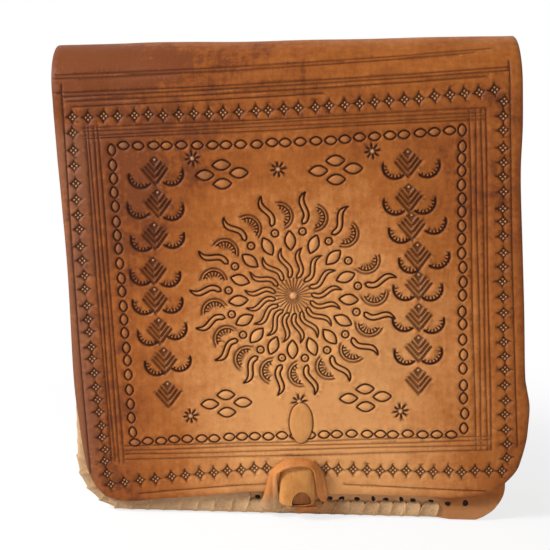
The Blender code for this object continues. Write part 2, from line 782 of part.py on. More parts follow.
def loop_twist(t):
    # 0 where the strip lies flat on the bag, 1 where it stands out from it
    share = min(t, 1 - t) / TWIST_END
    return min(1.0, share) ** 2 * (3 - 2 * min(1.0, share))


def make_loop(parent):
    bm = bmesh.new()
    rings = []
    for i in range(LOOP_STEPS + 1):
        t = i / LOOP_STEPS
        centre = loop_centre(t)
        ahead = loop_centre(min(1.0, t + 0.01)) - loop_centre(max(0.0, t - 0.01))
        across = Vector((-ahead.y, ahead.x)).normalized()
        twist = loop_twist(t)
        turn = twist * pi / 2
        wide = LOOP_STRIP / 2
        thin = LOOP_THICKNESS / 2
        step_out = min(1.0, (centre.y - LOOP_FOOT) / LOOP_STEP_RISE)
        clear = LOOP_BACK + (TOGGLE_BACK - LOOP_BACK) * step_out
        reach = wide * sin(turn) + thin * cos(turn)
        ring = []
        for a, b in ((-wide, -thin), (wide, -thin), (wide, thin), (-wide, thin)):
            radial = a * cos(turn) - b * sin(turn)
            proud = a * sin(turn) + b * cos(turn)
            place = centre + across * radial * (1 - 0.35 * (1 - twist))
            ring.append(bm.verts.new((place.x, -clear - reach - proud, place.y)))
        rings.append(ring)
    for a, b in zip(rings, rings[1:]):
        for k in range(4):
            j = (k + 1) % 4
            bm.faces.new((a[k], a[j], b[j], b[k]))
    bm.faces.new(rings[0])
    bm.faces.new(rings[-1][::-1])
    bmesh.ops.triangulate(bm, faces=bm.faces[:])
    return make_piece("closure_loop", bm, (0.48, 0.24, 0.09), parent)


def stand_on_origin(frame, pieces):
    # The frame's origin goes to the middle of the bag's underside
    bpy.context.view_layer.update()
    corners = []
    for piece in pieces:
        corners += [piece.matrix_world @ vert.co for vert in piece.data.vertices]
    low = [min(c[k] for c in corners) for k in range(3)]
    high = [max(c[k] for c in corners) for k in range(3)]
    frame.location = (-(low[0] + high[0]) / 2, -(low[1] + high[1]) / 2, -low[2])


def main():
    clear_scene()
    frame = make_empty("bag_frame", Vector((0, 0, 0)))
    back_fold = make_empty("flap_back_fold", BACK_AXIS, frame)
    front_fold = make_empty("flap_front_fold", FRONT_AXIS, back_fold)
    loop_hinge = make_empty("loop_hinge", LOOP_AXIS, frame)
    pieces = [
        make_back_panel(frame),
        make_front_panel(frame),
        make_gusset(frame),
        make_lacing("front_lacing", -1, frame),
        make_lacing("back_lacing", 1, frame),
        make_flap_top(back_fold),
        make_flap_front(front_fold),
        make_toggle(front_fold),
        make_loop(loop_hinge),
    ]
    stand_on_origin(frame, pieces)


main()
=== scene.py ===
# Hand-tooled leather flap satchel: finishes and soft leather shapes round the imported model
import math
import random

import bmesh
import bpy
import numpy as np
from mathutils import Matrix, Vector, geometry, noise


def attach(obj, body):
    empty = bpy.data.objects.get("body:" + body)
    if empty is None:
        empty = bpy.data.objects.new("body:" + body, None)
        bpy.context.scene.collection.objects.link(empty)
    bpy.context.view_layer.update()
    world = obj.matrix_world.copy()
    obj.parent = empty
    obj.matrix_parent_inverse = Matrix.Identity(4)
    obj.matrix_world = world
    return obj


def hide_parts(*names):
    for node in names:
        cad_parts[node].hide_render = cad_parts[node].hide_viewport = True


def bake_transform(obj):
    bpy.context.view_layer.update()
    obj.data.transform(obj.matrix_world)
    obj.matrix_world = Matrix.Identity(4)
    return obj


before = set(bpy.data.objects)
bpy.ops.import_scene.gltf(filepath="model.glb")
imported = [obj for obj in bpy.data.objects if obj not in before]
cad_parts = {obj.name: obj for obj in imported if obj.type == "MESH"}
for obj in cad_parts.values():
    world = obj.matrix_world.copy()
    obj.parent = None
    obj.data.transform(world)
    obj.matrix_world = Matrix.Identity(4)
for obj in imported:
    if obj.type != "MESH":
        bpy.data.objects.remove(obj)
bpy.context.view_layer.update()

mm = 0.001  # lengths below are in mm, and are turned into metres as they are placed


# Camera, floor and light

studio = {
    "cameraPlace": (0.0260, -0.5633, 0.2288),
    "cameraTarget": (-0.00895, -0.02195, 0.138),
    "lens": 66.67,
    "sensor": 36.0,
    "lamps": (  # name, place, power, size
        ("keyLamp", (-0.98, -0.50, 0.86), 23.0, 0.34),
        ("fillLamp", (0.75, -0.9, 0.35), 2.0, 0.9),
        ("rimLamp", (-0.9, 0.1, 0.45), 0.9, 0.5),
    ),
    "skyLevel": 0.20,
    "floorColor": (0.93, 0.93, 0.93, 1.0),
    "floorSize": 6.0,
    "floorDrop": 0.0004,
    "shadow": 0.22,  # how much of the bag's shadow the floor keeps
    "shadowReach": (0.12, 0.42),
}


def aimAt(item, target):
    item.rotation_euler = (Vector(target) - item.location).to_track_quat("-Z", "Y").to_euler()


def addLamp(name, place, power, size):
    bpy.ops.object.light_add(type="AREA", location=place)
    lamp = bpy.context.object
    lamp.name = name
    lamp.data.energy = power
    lamp.data.size = size
    aimAt(lamp, studio["cameraTarget"])


def addStudio():
    bpy.ops.object.camera_add(location=studio["cameraPlace"])
    camera = bpy.context.object
    camera.name = "photoCamera"
    camera.data.lens = studio["lens"]
    camera.data.sensor_width = studio["sensor"]
    camera.data.clip_start = 0.01
    aimAt(camera, studio["cameraTarget"])
    bpy.context.scene.camera = camera
    for lamp in studio["lamps"]:
        addLamp(*lamp)


# Shader building: Wire answers to the usual operators, Finish holds one material

def operator(operation, swapped=False):
    def answer(self, other):
        first, second = (other, self) if swapped else (self, other)
        return self.finish.node("ShaderNodeMath", {"operation": operation}, {0: first, 1: second})
    return answer


class Wire:
    def __init__(self, finish, socket):
        self.finish = finish
        self.socket = socket

    __add__, __radd__ = operator("ADD"), operator("ADD", True)
    __sub__, __rsub__ = operator("SUBTRACT"), operator("SUBTRACT", True)
    __mul__, __rmul__ = operator("MULTIPLY"), operator("MULTIPLY", True)
    __truediv__, __pow__ = operator("DIVIDE"), operator("POWER")


class Finish:
    def __init__(self, name):
        self.material = bpy.data.materials.new(name)
        self.material.use_nodes = True
        self.tree = self.material.node_tree
        self.skin = self.tree.nodes["Principled BSDF"]

    def feed(self, socket, value):
        if isinstance(value, Wire):
            self.tree.links.new(value.socket, socket)
        else:
            socket.default_value = value

    def node(self, kind, settings, sockets, output=0):
        made = self.tree.nodes.new(kind)
        for name, value in settings.items():
            if name == "stops":
                setStops(made.color_ramp, value)
            else:
                setattr(made, name, value)
        for name, value in sockets.items():
            self.feed(made.inputs[name], value)
        return Wire(self, made.outputs[output])

    def give(self, **sockets):
        for name, value in sockets.items():
            self.feed(self.skin.inputs[name.replace("_", " ")], value)
        return self.material

    def noise(self, place, scale, detail=3.0, rough=0.55, stretch=None):
        if stretch:
            place = self.node("ShaderNodeMapping", {}, {"Vector": place, "Scale": stretch})
        return self.node("ShaderNodeTexNoise", {},
                         {"Vector": place, "Scale": scale, "Detail": detail, "Roughness": rough})

    def mix(self, share, first, second):
        return self.node("ShaderNodeMix", {"data_type": "RGBA"}, {0: share, 6: first, 7: second}, 2)

    def split(self, place):
        # Its x, y and z
        parts = self.tree.nodes.new("ShaderNodeSeparateXYZ")
        self.feed(parts.inputs[0], place)
        return [Wire(self, output) for output in parts.outputs]

    def between(self, value, low, high):
        # 0 below low, 1 above high
        return self.node("ShaderNodeMapRange", {"interpolation_type": "SMOOTHSTEP"},
                         {"Value": value, "From Min": low, "From Max": high})

    def bump(self, height, depth, under=None):
        sockets = {"Height": height, "Distance": depth, "Strength": 1.0}
        if under:
            sockets["Normal"] = under
        return self.node("ShaderNodeBump", {}, sockets)


def objectPlace(finish):
    return finish.node("ShaderNodeTexCoord", {}, {}, "Object")


def setStops(ramp, stops):
    while len(ramp.elements) < len(stops):
        ramp.elements.new(0.5)
    for element, (place, color) in zip(ramp.elements, stops):
        element.position = place
        element.color = color


def tone(red, green, blue):
    # A colour as a screen shows it, 0 to 255, as the shader wants it
    linear = []
    for part in (red, green, blue):
        part = part / 255
        linear.append(part / 12.92 if part <= 0.04045 else ((part + 0.055) / 1.055) ** 2.4)
    return (*linear, 1.0)


def whiteSky():
    world = bpy.data.worlds.new("whiteSky")
    world.use_nodes = True
    bpy.context.scene.world = world
    tree = world.node_tree
    sky = tree.nodes["Background"]
    sky.inputs["Color"].default_value = (1.0, 1.0, 1.0, 1.0)
    rays = tree.nodes.new("ShaderNodeLightPath")
    level = tree.nodes.new("ShaderNodeMapRange")
    level.inputs["To Min"].default_value = studio["skyLevel"]
    level.inputs["To Max"].default_value = 1.0
    seen = rays.outputs["Is Camera Ray"]
    for kind in ("Is Glossy Ray", "Is Transmission Ray"):
        either = tree.nodes.new("ShaderNodeMath")
        either.operation = "MAXIMUM"
        tree.links.new(seen, either.inputs[0])
        tree.links.new(rays.outputs[kind], either.inputs[1])
        seen = either.outputs[0]
    tree.links.new(seen, level.inputs["Value"])
    tree.links.new(level.outputs[0], sky.inputs["Strength"])


def addFloor():
    bpy.ops.mesh.primitive_plane_add(size=studio["floorSize"], location=(0, 0, -studio["floorDrop"]))
    floor = bpy.context.object
    floor.name = "floor"
    finish = Finish("paleFloor")
    rays = finish.tree.nodes.new("ShaderNodeLightPath")
    glow = finish.tree.nodes.new("ShaderNodeEmission")
    glow.inputs["Color"].default_value = (1.0, 1.0, 1.0, 1.0)
    shown = finish.tree.nodes.new("ShaderNodeMixShader")
    finish.give(Base_Color=studio["floorColor"], Roughness=0.9)
    place = objectPlace(finish)
    reach = finish.node("ShaderNodeVectorMath", {"operation": "LENGTH"}, {0: place}, 1)
    # The floor turns pure white away from the bag and keeps the shadow close to it
    away = finish.between(reach, *studio["shadowReach"])
    shadow = studio["shadow"] * (1 - away)
    share = (1 - shadow) * Wire(finish, rays.outputs["Is Camera Ray"])
    finish.feed(shown.inputs[0], share)
    finish.tree.links.new(finish.skin.outputs[0], shown.inputs[1])
    finish.tree.links.new(glow.outputs[0], shown.inputs[2])
    output = finish.tree.nodes["Material Output"]
    finish.tree.links.new(shown.outputs[0], output.inputs["Surface"])
    floor.data.materials.append(finish.material)


bpy.context.scene.view_settings.view_transform = "Standard"
whiteSky()
addFloor()
addStudio()
print("studio ready")


# Leather finishes

leatherTones = {
    "pale": tone(205, 144, 87),
    "tan": tone(185, 120, 66),
    "brown": tone(158, 91, 38),
    "deep": tone(134, 71, 26),
    "edge": tone(110, 56, 24),
    "burnt": tone(66, 32, 16),
    "lit": tone(232, 182, 130),
    "raw": tone(206, 168, 124),
    "rawDark": tone(148, 108, 74),
    "worn": tone(184, 134, 88),
    "paintedLight": tone(208, 160, 112),
    # The greyer tone below is painted sheen for the flap's left margin
    "paleAndSheen": tone(140, 94, 70),
}
leatherDepths = ((0.0, "pale"), (0.33, "tan"), (0.62, "brown"), (0.90, "deep"), (1.0, "edge"))
hideShine = 0.14  # specular level of the oiled hide
rawShine = 0.2


def grainBump(finish, place, strength=1.0):
    # Pores and fine creases of a smooth vegetable-tanned hide
    pores = finish.node("ShaderNodeTexVoronoi", {}, {"Vector": place, "Scale": 1100.0})
    creases = finish.noise(place, 420.0, 4.0, 0.6)
    swell = finish.noise(place, 38.0, 2.0, 0.5)
    first = finish.bump(swell, 0.0012 * strength)
    second = finish.bump(creases, 0.00022 * strength, first)
    return finish.bump(pores, 0.00006 * strength, second)


paleAndSheen = {  # the paler part of the flap, on the sheet, in metres
    "middle": (0.010, 0.050),
    "reach": (0.112, 0.168),
}


def tanned(finish, depth):
    # From the hide's palest tone at 0 to the deepest at 1
    stops = [(place, leatherTones[name]) for place, name in leatherDepths]
    return finish.node("ShaderNodeValToRGB", {"stops": stops}, {0: depth})


def tooledLeather():
    finish = Finish("tooledLeather")
    place = finish.node("ShaderNodeUVMap", {"uv_map": "sheet"}, {})
    across, up, _ = finish.split(place)
    burnt = finish.node("ShaderNodeAttribute", {"attribute_name": "burnt"}, {}, 2)
    raised = finish.node("ShaderNodeAttribute", {"attribute_name": "raised"}, {}, 2)
    blotch = finish.noise(place, 13.0, 4.0, 0.6)
    mottle = finish.noise(place, 70.0, 5.0, 0.62)
    streaks = finish.noise(place, 1.0, 4.0, 0.6, (34.0, 330.0, 1.0))
    brush = finish.noise(place, 1.0, 3.0, 0.6, (420.0, 60.0, 1.0))
    fleck = finish.noise(place, 260.0, 4.0, 0.7)
    # Paler low in the middle and deeper towards its margins
    (middleX, middleUp), (halfX, halfUp) = paleAndSheen["middle"], paleAndSheen["reach"]
    offX, offUp = (across - middleX) / halfX, (up - middleUp) / halfUp
    reach = (offX * offX + offUp * offUp) ** 0.5
    behind = finish.between(up, 0.250, 0.300)
    margin = finish.between(reach, 0.22, 1.16) * (1.0 - behind * 0.45)
    top = finish.between(up, 0.232, 0.244) * finish.between(up, 0.300, 0.270)
    # Painted shade: darker towards the left, where the key lamp gives more light
    leftShade = finish.between(across, 0.02, -0.10) * (1.0 - behind)
    depth = margin * 0.84 + (blotch - 0.5) * 0.62 + (mottle - 0.5) * 0.62 + (fleck - 0.5) * 0.55
    depth = depth + (streaks - 0.5) * (0.08 + top * 0.24) + (brush - 0.5) * 0.30
    depth = depth - top * across * 1.6 + leftShade * 0.15
    color = tanned(finish, depth)
    # Painted sheen: a greyer tone over the left margin below the fold, standing in for a glossy reflection
    paintedSheen = finish.between(across, -0.102, -0.118) * finish.between(up, 0.226, 0.206)
    color = finish.mix(paintedSheen * 0.45, color, leatherTones["paleAndSheen"])
    # Painted highlight: raised places are mixed towards the lit tone
    color = finish.mix(raised * 0.5, color, leatherTones["lit"])
    # Grooves darkened: partly the tool's burnish, partly painted shade in the hollows
    color = finish.mix(burnt, color, leatherTones["burnt"])
    rough = 0.52 + (mottle - 0.5) * 0.25 - burnt * 0.06
    return finish.give(Base_Color=color, Roughness=rough, Normal=grainBump(finish, place, 0.8),
                       Specular_IOR_Level=hideShine)


def bodyLeather():
    # The same hide without tooling
    finish = Finish("bodyLeather")
    place = objectPlace(finish)
    blotch = finish.noise(place, 16.0, 4.0, 0.6)
    mottle = finish.noise(place, 85.0, 5.0, 0.62)
    streaks = finish.noise(place, 1.0, 4.0, 0.6, (30.0, 30.0, 260.0))
    fleck = finish.noise(place, 280.0, 4.0, 0.7)
    depth = 0.56 + (blotch - 0.5) * 0.9 + (mottle - 0.5) * 0.75 + (streaks - 0.5) * 0.35
    depth = depth + (fleck - 0.5) * 0.5
    color = tanned(finish, depth)
    # Paler along the foot, partly worn and partly painted light lifting the hem's shadow, most of all left
    # of the bare corner
    across, _, up = finish.split(place)
    low = up + (blotch - 0.5) * 0.012
    worn = finish.between(low, 0.018, 0.006) * 0.50 * (0.4 + mottle)
    color = finish.mix(worn, color, leatherTones["worn"])
    # Painted light: a paler strip left of the bare corner lifts the shadow the hem casts on the panel
    strip = finish.between(low, 0.024, 0.014) * finish.between(across, 0.088, 0.076)
    color = finish.mix(strip * 0.6, color, leatherTones["paintedLight"])
    rough = 0.54 + (mottle - 0.5) * 0.3
    return finish.give(Base_Color=color, Roughness=rough, Normal=grainBump(finish, place),
                       Specular_IOR_Level=hideShine)


def fleshLeather():
    # The rough inner side and the cut edges
    finish = Finish("fleshLeather")
    place = objectPlace(finish)
    nap = finish.noise(place, 900.0, 5.0, 0.7)
    patch = finish.noise(place, 40.0, 4.0, 0.6)
    share = 0.25 + (patch - 0.5) * 1.2 + (nap - 0.5) * 0.8
    color = finish.mix(share, tone(176, 132, 90), tone(122, 84, 54))
    return finish.give(Base_Color=color, Roughness=0.92, Normal=finish.bump(nap, 0.0004),
                       Specular_IOR_Level=0.15)


def thongLeather():
    # Pale raw hide with a fibrous nap, dirtier in places
    finish = Finish("thongLeather")
    place = objectPlace(finish)
    fibres = finish.noise(place, 1.0, 5.0, 0.7, (520.0, 520.0, 1500.0))
    nap = finish.noise(place, 700.0, 5.0, 0.7)
    patch = finish.noise(place, 55.0, 4.0, 0.62)
    across = finish.split(place)[0]
    stained = finish.between(across, 0.035, 0.008) * finish.between(across, -0.005, 0.006)
    grey = finish.between(across, 0.01, -0.085)
    share = 0.36 + (patch - 0.5) * 1.9 + (fibres - 0.5) * 1.1
    color = finish.mix(share, leatherTones["raw"], leatherTones["rawDark"])
    color = finish.mix(grey * 0.35, color, tone(150, 122, 94))
    color = finish.mix(stained * 0.7, color, tone(190, 122, 62))
    normal = finish.bump(fibres, 0.0005, finish.bump(nap, 0.0003))
    return finish.give(Base_Color=color, Roughness=0.85, Normal=normal, Specular_IOR_Level=rawShine)


def closureLeather(name, light, dark):
    # Smooth strap leather, streaked along its length
    finish = Finish(name)
    place = objectPlace(finish)
    patch = finish.noise(place, 70.0, 4.0, 0.6)
    fibres = finish.noise(place, 1.0, 4.0, 0.65, (900.0, 500.0, 160.0))
    share = 0.50 + (patch - 0.5) * 2.1 + (fibres - 0.5) * 0.8
    color = finish.mix(share, light, dark)
    return finish.give(Base_Color=color, Roughness=0.58 + (patch - 0.5) * 0.3,
                       Normal=grainBump(finish, place, 0.9), Specular_IOR_Level=hideShine)


def hoopLeather():
    # The loop's strip: smooth and orange over the top, raw and grey at its left foot and inner edge
    finish = Finish("hoopLeather")
    place = objectPlace(finish)
    patch = finish.noise(place, 90.0, 4.0, 0.65)
    fibres = finish.noise(place, 1.0, 4.0, 0.65, (900.0, 500.0, 200.0))
    across, _, up = finish.split(place)
    foot = finish.between(up + (patch - 0.5) * 0.014, 0.0175, 0.0080)
    inner = finish.between(across + (patch - 0.5) * 0.006, -0.0106, -0.0086)
    inner = inner * finish.between(up, 0.029, 0.024) * 0.55
    raw = (foot + inner) * finish.between(across, 0.004, 0.0)
    share = 0.42 + (patch - 0.5) * 1.6 + (fibres - 0.5) * 0.6
    color = finish.mix(share, tone(202, 130, 66), tone(152, 90, 44))
    grey = finish.mix(share, tone(192, 152, 108), tone(122, 88, 58))
    color = finish.mix(raw, color, grey)
    normal = finish.bump(fibres, 0.0004, grainBump(finish, place, 0.7))
    return finish.give(Base_Color=color, Roughness=0.60, Normal=normal, Specular_IOR_Level=rawShine)


def paintedHoleShade():
    # Painted shade: near black, standing in for the dark inside of a punched hole
    finish = Finish("holeShade")
    place = objectPlace(finish)
    color = finish.mix(finish.noise(place, 600.0), tone(30, 20, 14), tone(58, 38, 26))
    return finish.give(Base_Color=color, Roughness=0.95)


tooledSkin = tooledLeather()
bodySkin = bodyLeather()
fleshSkin = fleshLeather()
thongSkin = thongLeather()
closureSkin = closureLeather("tongueLeather", tone(206, 146, 82), tone(164, 104, 48))
# A darker copy of the tongue's leather: painted shade for the notch's floor
notchShadeSkin = closureLeather("notchShadedLeather", tone(176, 112, 62), tone(112, 64, 32))
tabSkin = closureLeather("tabLeather", tone(208, 148, 88), tone(184, 122, 64))
hoopSkin = hoopLeather()
shadeSkin = paintedHoleShade()
print("finishes ready")


# The hide as a sheet: x across, w up the front, over the fold and down the back, h out of it

hide = {
    "thickness": 2.5,
    "backFace": 29.749,
    "foldY": 3.899,
    "foldZ": 236.65,
    "foldRadius": 25.85,
    "apexLift": (-1.6, 2.6),  # the fold stands a little higher at its right end
    "liftEnds": (-128.0, 117.0),
    "centre": (1.05, 126.9),  # middle of the sun on the sheet
    "askew": math.radians(2.9),  # the flap was cut a little out of square
}
hide["apex"] = hide["foldZ"] + hide["foldRadius"] * math.pi / 2
hide["backStart"] = hide["foldZ"] + hide["foldRadius"] * math.pi


def onHide(sheet, height):
    # Places in metres for points on the sheet, given with their height above its outer face
    x, w = sheet[:, 0], sheet[:, 1]
    angle = np.clip((w - hide["foldZ"]) / hide["foldRadius"], 0, math.pi)
    lift = np.interp(x, hide["liftEnds"], hide["apexLift"]) * np.sin(angle)
    reach = hide["foldRadius"] + height + lift
    y = hide["foldY"] - reach * np.cos(angle)
    z = hide["foldZ"] + reach * np.sin(angle)
    z = z + np.minimum(0, w - hide["foldZ"]) - np.maximum(0, w - hide["backStart"])
    return np.stack((x, y, z), axis=1) * mm


def placed(points, place, angle=0.0):
    # The points turned about (0, 0) and moved to the place
    points = np.asarray(points, float)
    c, s = math.cos(angle), math.sin(angle)
    return np.stack((points[:, 0] * c - points[:, 1] * s + place[0],
                     points[:, 0] * s + points[:, 1] * c + place[1]), axis=1)


def toSheet(points):
    # Tooling's (u, v) from the middle of the sun to the sheet's (x, w)
    return placed(points, hide["centre"], hide["askew"])


def fromSheet(points):
    return placed(np.asarray(points, float) - np.array(hide["centre"]), (0, 0), -hide["askew"])


def smoothLine(points, step, closed=False):
    # Even points along a soft curve through the given ones
    points = np.asarray(points, float)
    padded = np.vstack((points[-1:] if closed else points[:1], points,
                        points[:2] if closed else points[-1:]))
    fine = []
    for a, b, c, d in zip(padded, padded[1:], padded[2:], padded[3:]):
        for t in np.linspace(0, 1, 12, endpoint=False):
            fine.append(0.5 * (2 * b + (c - a) * t + (2 * a - 5 * b + 4 * c - d) * t * t
                               + (3 * b - a - 3 * c + d) * t ** 3))
    if not closed:
        fine.append(points[-1])
    return evenLine(np.array(fine), step, closed)


def evenLine(points, step, closed=False):
    # The same line with points at an even spacing
    if closed:
        points = np.vstack((points, points[:1]))
    runs = np.hypot(*np.diff(points, axis=0).T)
    marks = np.concatenate(([0], np.cumsum(runs)))
    count = max(2, int(round(marks[-1] / step)) + 1)
    places = np.linspace(0, marks[-1], count)
    if closed:
        places = places[:-1]
    return np.stack([np.interp(places, marks, points[:, k]) for k in (0, 1)], axis=1)


def sideways(points, offset, closed):
    # The line moved sideways, to the left of its direction
    if closed:
        ahead = np.roll(points, -1, axis=0) - points
        behind = points - np.roll(points, 1, axis=0)
    else:
        runs = np.diff(points, axis=0)
        ahead = np.vstack((runs, runs[-1:]))
        behind = np.vstack((runs[:1], runs))
    along = ahead / np.maximum(np.hypot(*ahead.T), 1e-9)[:, None]
    along = along + behind / np.maximum(np.hypot(*behind.T), 1e-9)[:, None]
    along = along / np.maximum(np.hypot(*along.T), 1e-9)[:, None]
    return points + np.stack((-along[:, 1], along[:, 0]), axis=1) * offset


# Tooling: strokes, pits and domes pressed into the flap, as points for the mesh and as relief

press = {
    "points": [], "lines": [], "strokes": [], "pits": [], "domes": [],
    "crest": 0.38,  # a lip's crest stands this far outside its groove
    "deepness": 1.35,  # all heights are scaled by this
}

# How each tool marks the leather: its groove's width, depth and darkening (burnish and painted shade),
# how high the leather swells inside a closed line, how high its lip stands, and the spacing of the mesh's
# points
toolMarks = {
    "chainLeaf": dict(width=0.70, depth=0.55, burnt=0.96, closed=True, pillow=0.26, lip=0.24),
    "frameLine": dict(width=0.75, depth=0.30, burnt=0.36, lip=0.16, step=3.0),
    "scoredLine": dict(width=0.62, depth=0.32, burnt=0.50, lip=0.14, step=2.6),
    "sunCore": dict(width=0.70, depth=0.38, burnt=0.50, lip=0.12, step=1.0),
    "sunLeaf": dict(width=0.76, depth=0.62, burnt=0.96, closed=True, pillow=0.34, lip=0.26),
    "innerRay": dict(width=0.70, depth=0.60, burnt=0.90, closed=True, pillow=0.32, lip=0.24),
    "outerRay": dict(width=0.74, depth=0.64, burnt=0.96, closed=True, pillow=0.36, lip=0.28),
    "ring": dict(width=0.74, depth=0.56, burnt=0.94, closed=True, pillow=0.30, lip=0.22, step=0.6),
    "moonBack": dict(width=0.95, depth=0.46, burnt=0.66, lip=0.26),
    "sunMoon": dict(teeth=7, reach=2.5, width=0.60, burnt=0.88, tooth=0.80),
    "columnMoon": dict(teeth=7, reach=1.9, width=1.2, burnt=1.0, tooth=0.7),
    "chevron": dict(width=1.45, depth=0.55, burnt=0.70, lip=0.36, step=0.9),
    "looseLeaf": dict(width=0.76, depth=0.58, burnt=0.94, closed=True, pillow=0.34, lip=0.24),
    "petal": dict(width=1.05, depth=0.50, burnt=0.96, lip=0.16, step=0.7),
    "tabEdge": dict(width=0.7, depth=0.40, burnt=0.55, closed=True, lip=0.12, step=1.0),
}


def markLine(points, closed):
    start = len(press["points"])
    press["points"] += [tuple(p) for p in points]
    count = len(points)
    last = count if closed else count - 1
    press["lines"] += [(start + i, start + (i + 1) % count) for i in range(last)]


def pressStroke(path, width, depth, burnt, closed=False, pillow=0.0, lip=0.26, step=0.75):
    path = evenLine(np.asarray(path, float), step, closed)
    for offset in (-0.42, 0.0, 0.42):
        markLine(sideways(path, offset * width, closed), closed)
    for hand in (-1, 1):
        crest = sideways(path, hand * (0.5 * width + press["crest"]), closed)
        press["points"] += [tuple(p) for p in crest]
    press["strokes"].append({"path": path, "half": width / 2, "depth": depth, "burnt": burnt,
                             "closed": closed, "pillow": pillow, "lip": lip})


def pressPit(outline, depth, burnt, lip):
    outline = np.asarray(outline, float)
    middle = outline.mean(axis=0)
    markLine(outline, True)
    markLine(middle + (outline - middle) * 0.72, True)
    press["points"] += [tuple(p) for p in sideways(outline, -press["crest"], True)]
    press["pits"].append({"path": outline, "depth": depth, "burnt": burnt, "lip": lip})


def pressDome(centre, radius, rise, burnt=0.0):
    press["points"].append(tuple(centre))
    for share, count in ((0.6, 6), (1.08, 8)):
        press["points"] += [tuple(p) for p in circle(centre, radius * share, count)]
    press["domes"].append({"centre": np.asarray(centre, float), "radius": radius, "rise": rise,
                           "burnt": burnt})


def polar(radius, turn):
    return radius * math.cos(turn), radius * math.sin(turn)


def onCircle(centre, radius, turns):
    return np.stack((centre[0] + radius * np.cos(turns), centre[1] + radius * np.sin(turns)), axis=1)


def circle(centre, radius, count):
    return onCircle(centre, radius, np.arange(count) / count * math.tau)


def arc(centre, radius, start, end):
    return onCircle(centre, radius, np.linspace(start, end, 14))


def leafOutline(length, width, point=1.0):
    # A leaf between two tips; the higher point is, the sharper they are
    t = np.linspace(-1, 1, 11)
    upper = np.stack((t * length / 2, width / 2 * (1 - t * t) ** point), axis=1)
    lower = -upper
    return np.vstack((upper[:-1], lower[:-1]))


def inBatches(measure, points, *others):
    # So that a long outline and many points don't fill the memory
    batches = np.array_split(points, len(points) // 3000 + 1)
    return np.concatenate([measure(batch, *others) for batch in batches])


def distanceTo(points, path, closed):
    return inBatches(distanceBatch, points, path, closed)


def distanceBatch(points, path, closed):
    starts = path if closed else path[:-1]
    ends = np.roll(path, -1, axis=0) if closed else path[1:]
    runs = ends - starts
    lengths = np.maximum((runs ** 2).sum(axis=1), 1e-12)
    offsets = points[:, None, :] - starts[None]
    t = np.clip((offsets * runs).sum(axis=2) / lengths, 0, 1)
    gaps = offsets - t[:, :, None] * runs
    return np.sqrt((gaps ** 2).sum(axis=2)).min(axis=1)


def insideOf(points, outline):
    return inBatches(insideBatch, points, outline)


def insideBatch(points, outline):
    x, y = points[:, 0][:, None], points[:, 1][:, None]
    ax, ay = outline[:, 0], outline[:, 1]
    bx, by = np.roll(ax, -1), np.roll(ay, -1)
    crosses = (ay > y) != (by > y)
    rise = np.where(by == ay, 1e-9, by - ay)
    return (crosses & (x < (bx - ax) * (y - ay) / rise + ax)).sum(axis=1) % 2 == 1


def nearTo(points, path, margin):
    low, high = path.min(axis=0) - margin, path.max(axis=0) + margin
    return np.nonzero((points[:, 0] > low[0]) & (points[:, 0] < high[0])
                      & (points[:, 1] > low[1]) & (points[:, 1] < high[1]))[0]


def reliefAt(points):
    # Height, groove darkening (burnish and painted shade) and painted highlight on raised places, over all
    # that was pressed
    down = np.zeros(len(points))
    up = np.zeros(len(points))
    burnt = np.zeros(len(points))
    raised = np.zeros(len(points))
    for stroke in press["strokes"]:
        near = nearTo(points, stroke["path"], stroke["half"] * 2 + 1.4)
        spots = points[near]
        reach = distanceTo(spots, stroke["path"], stroke["closed"]) / stroke["half"]
        groove = np.clip(1 - reach ** 2.5, 0, 1) ** 0.8
        down[near] = np.minimum(down[near], -stroke["depth"] * groove)
        shade = stroke["burnt"] * np.clip((1.25 - reach) / 0.35, 0, 1)
        burnt[near] = np.maximum(burnt[near], shade)
        crest = stroke["half"] + press["crest"]
        swell = stroke["lip"] * np.exp(-((reach * stroke["half"] - crest) / 0.45) ** 2)
        if stroke["pillow"]:
            inner = insideOf(spots, stroke["path"])
            crown = stroke["pillow"] * np.clip((reach - 0.8) / 2.4, 0, 1) ** 0.7
            swell = np.where(inner, np.maximum(swell * 0.4, crown), swell)
            raised[near] = np.maximum(raised[near], np.where(inner, crown / 1.3, 0))
        up[near] = np.maximum(up[near], swell)
    for pit in press["pits"]:
        near = nearTo(points, pit["path"], 1.2)
        spots = points[near]
        inner = insideOf(spots, pit["path"])
        reach = distanceTo(spots, pit["path"], True)
        floor = np.where(inner, -pit["depth"] * np.clip(reach / 0.42, 0.12, 1), 0)
        down[near] = np.minimum(down[near], floor)
        outside = np.clip(1 - reach / 0.35, 0, 1) * 0.6
        shade = np.where(inner, 0.72 + 0.28 * np.clip(reach / 0.4, 0, 1), outside)
        burnt[near] = np.maximum(burnt[near], pit["burnt"] * shade)
        swell = np.where(inner, 0, pit["lip"] * np.exp(-((reach - 0.5) / 0.35) ** 2))
        up[near] = np.maximum(up[near], swell)
    height = down + up * np.clip(1 + down / 0.3, 0, 1)
    for dome in press["domes"]:
        near = nearTo(points, dome["centre"][None], dome["radius"])
        reach = np.hypot(*(points[near] - dome["centre"]).T) / dome["radius"]
        cap = np.clip(1 - reach ** 2, 0, 1)
        height[near] += dome["rise"] * cap ** 0.7
        burnt[near] = burnt[near] + (dome["burnt"] - burnt[near]) * cap ** 0.5
        raised[near] = np.maximum(raised[near], cap ** 0.5)
    return height * press["deepness"], burnt, raised


# The motifs, in mm from the middle of the sun, u across and v up

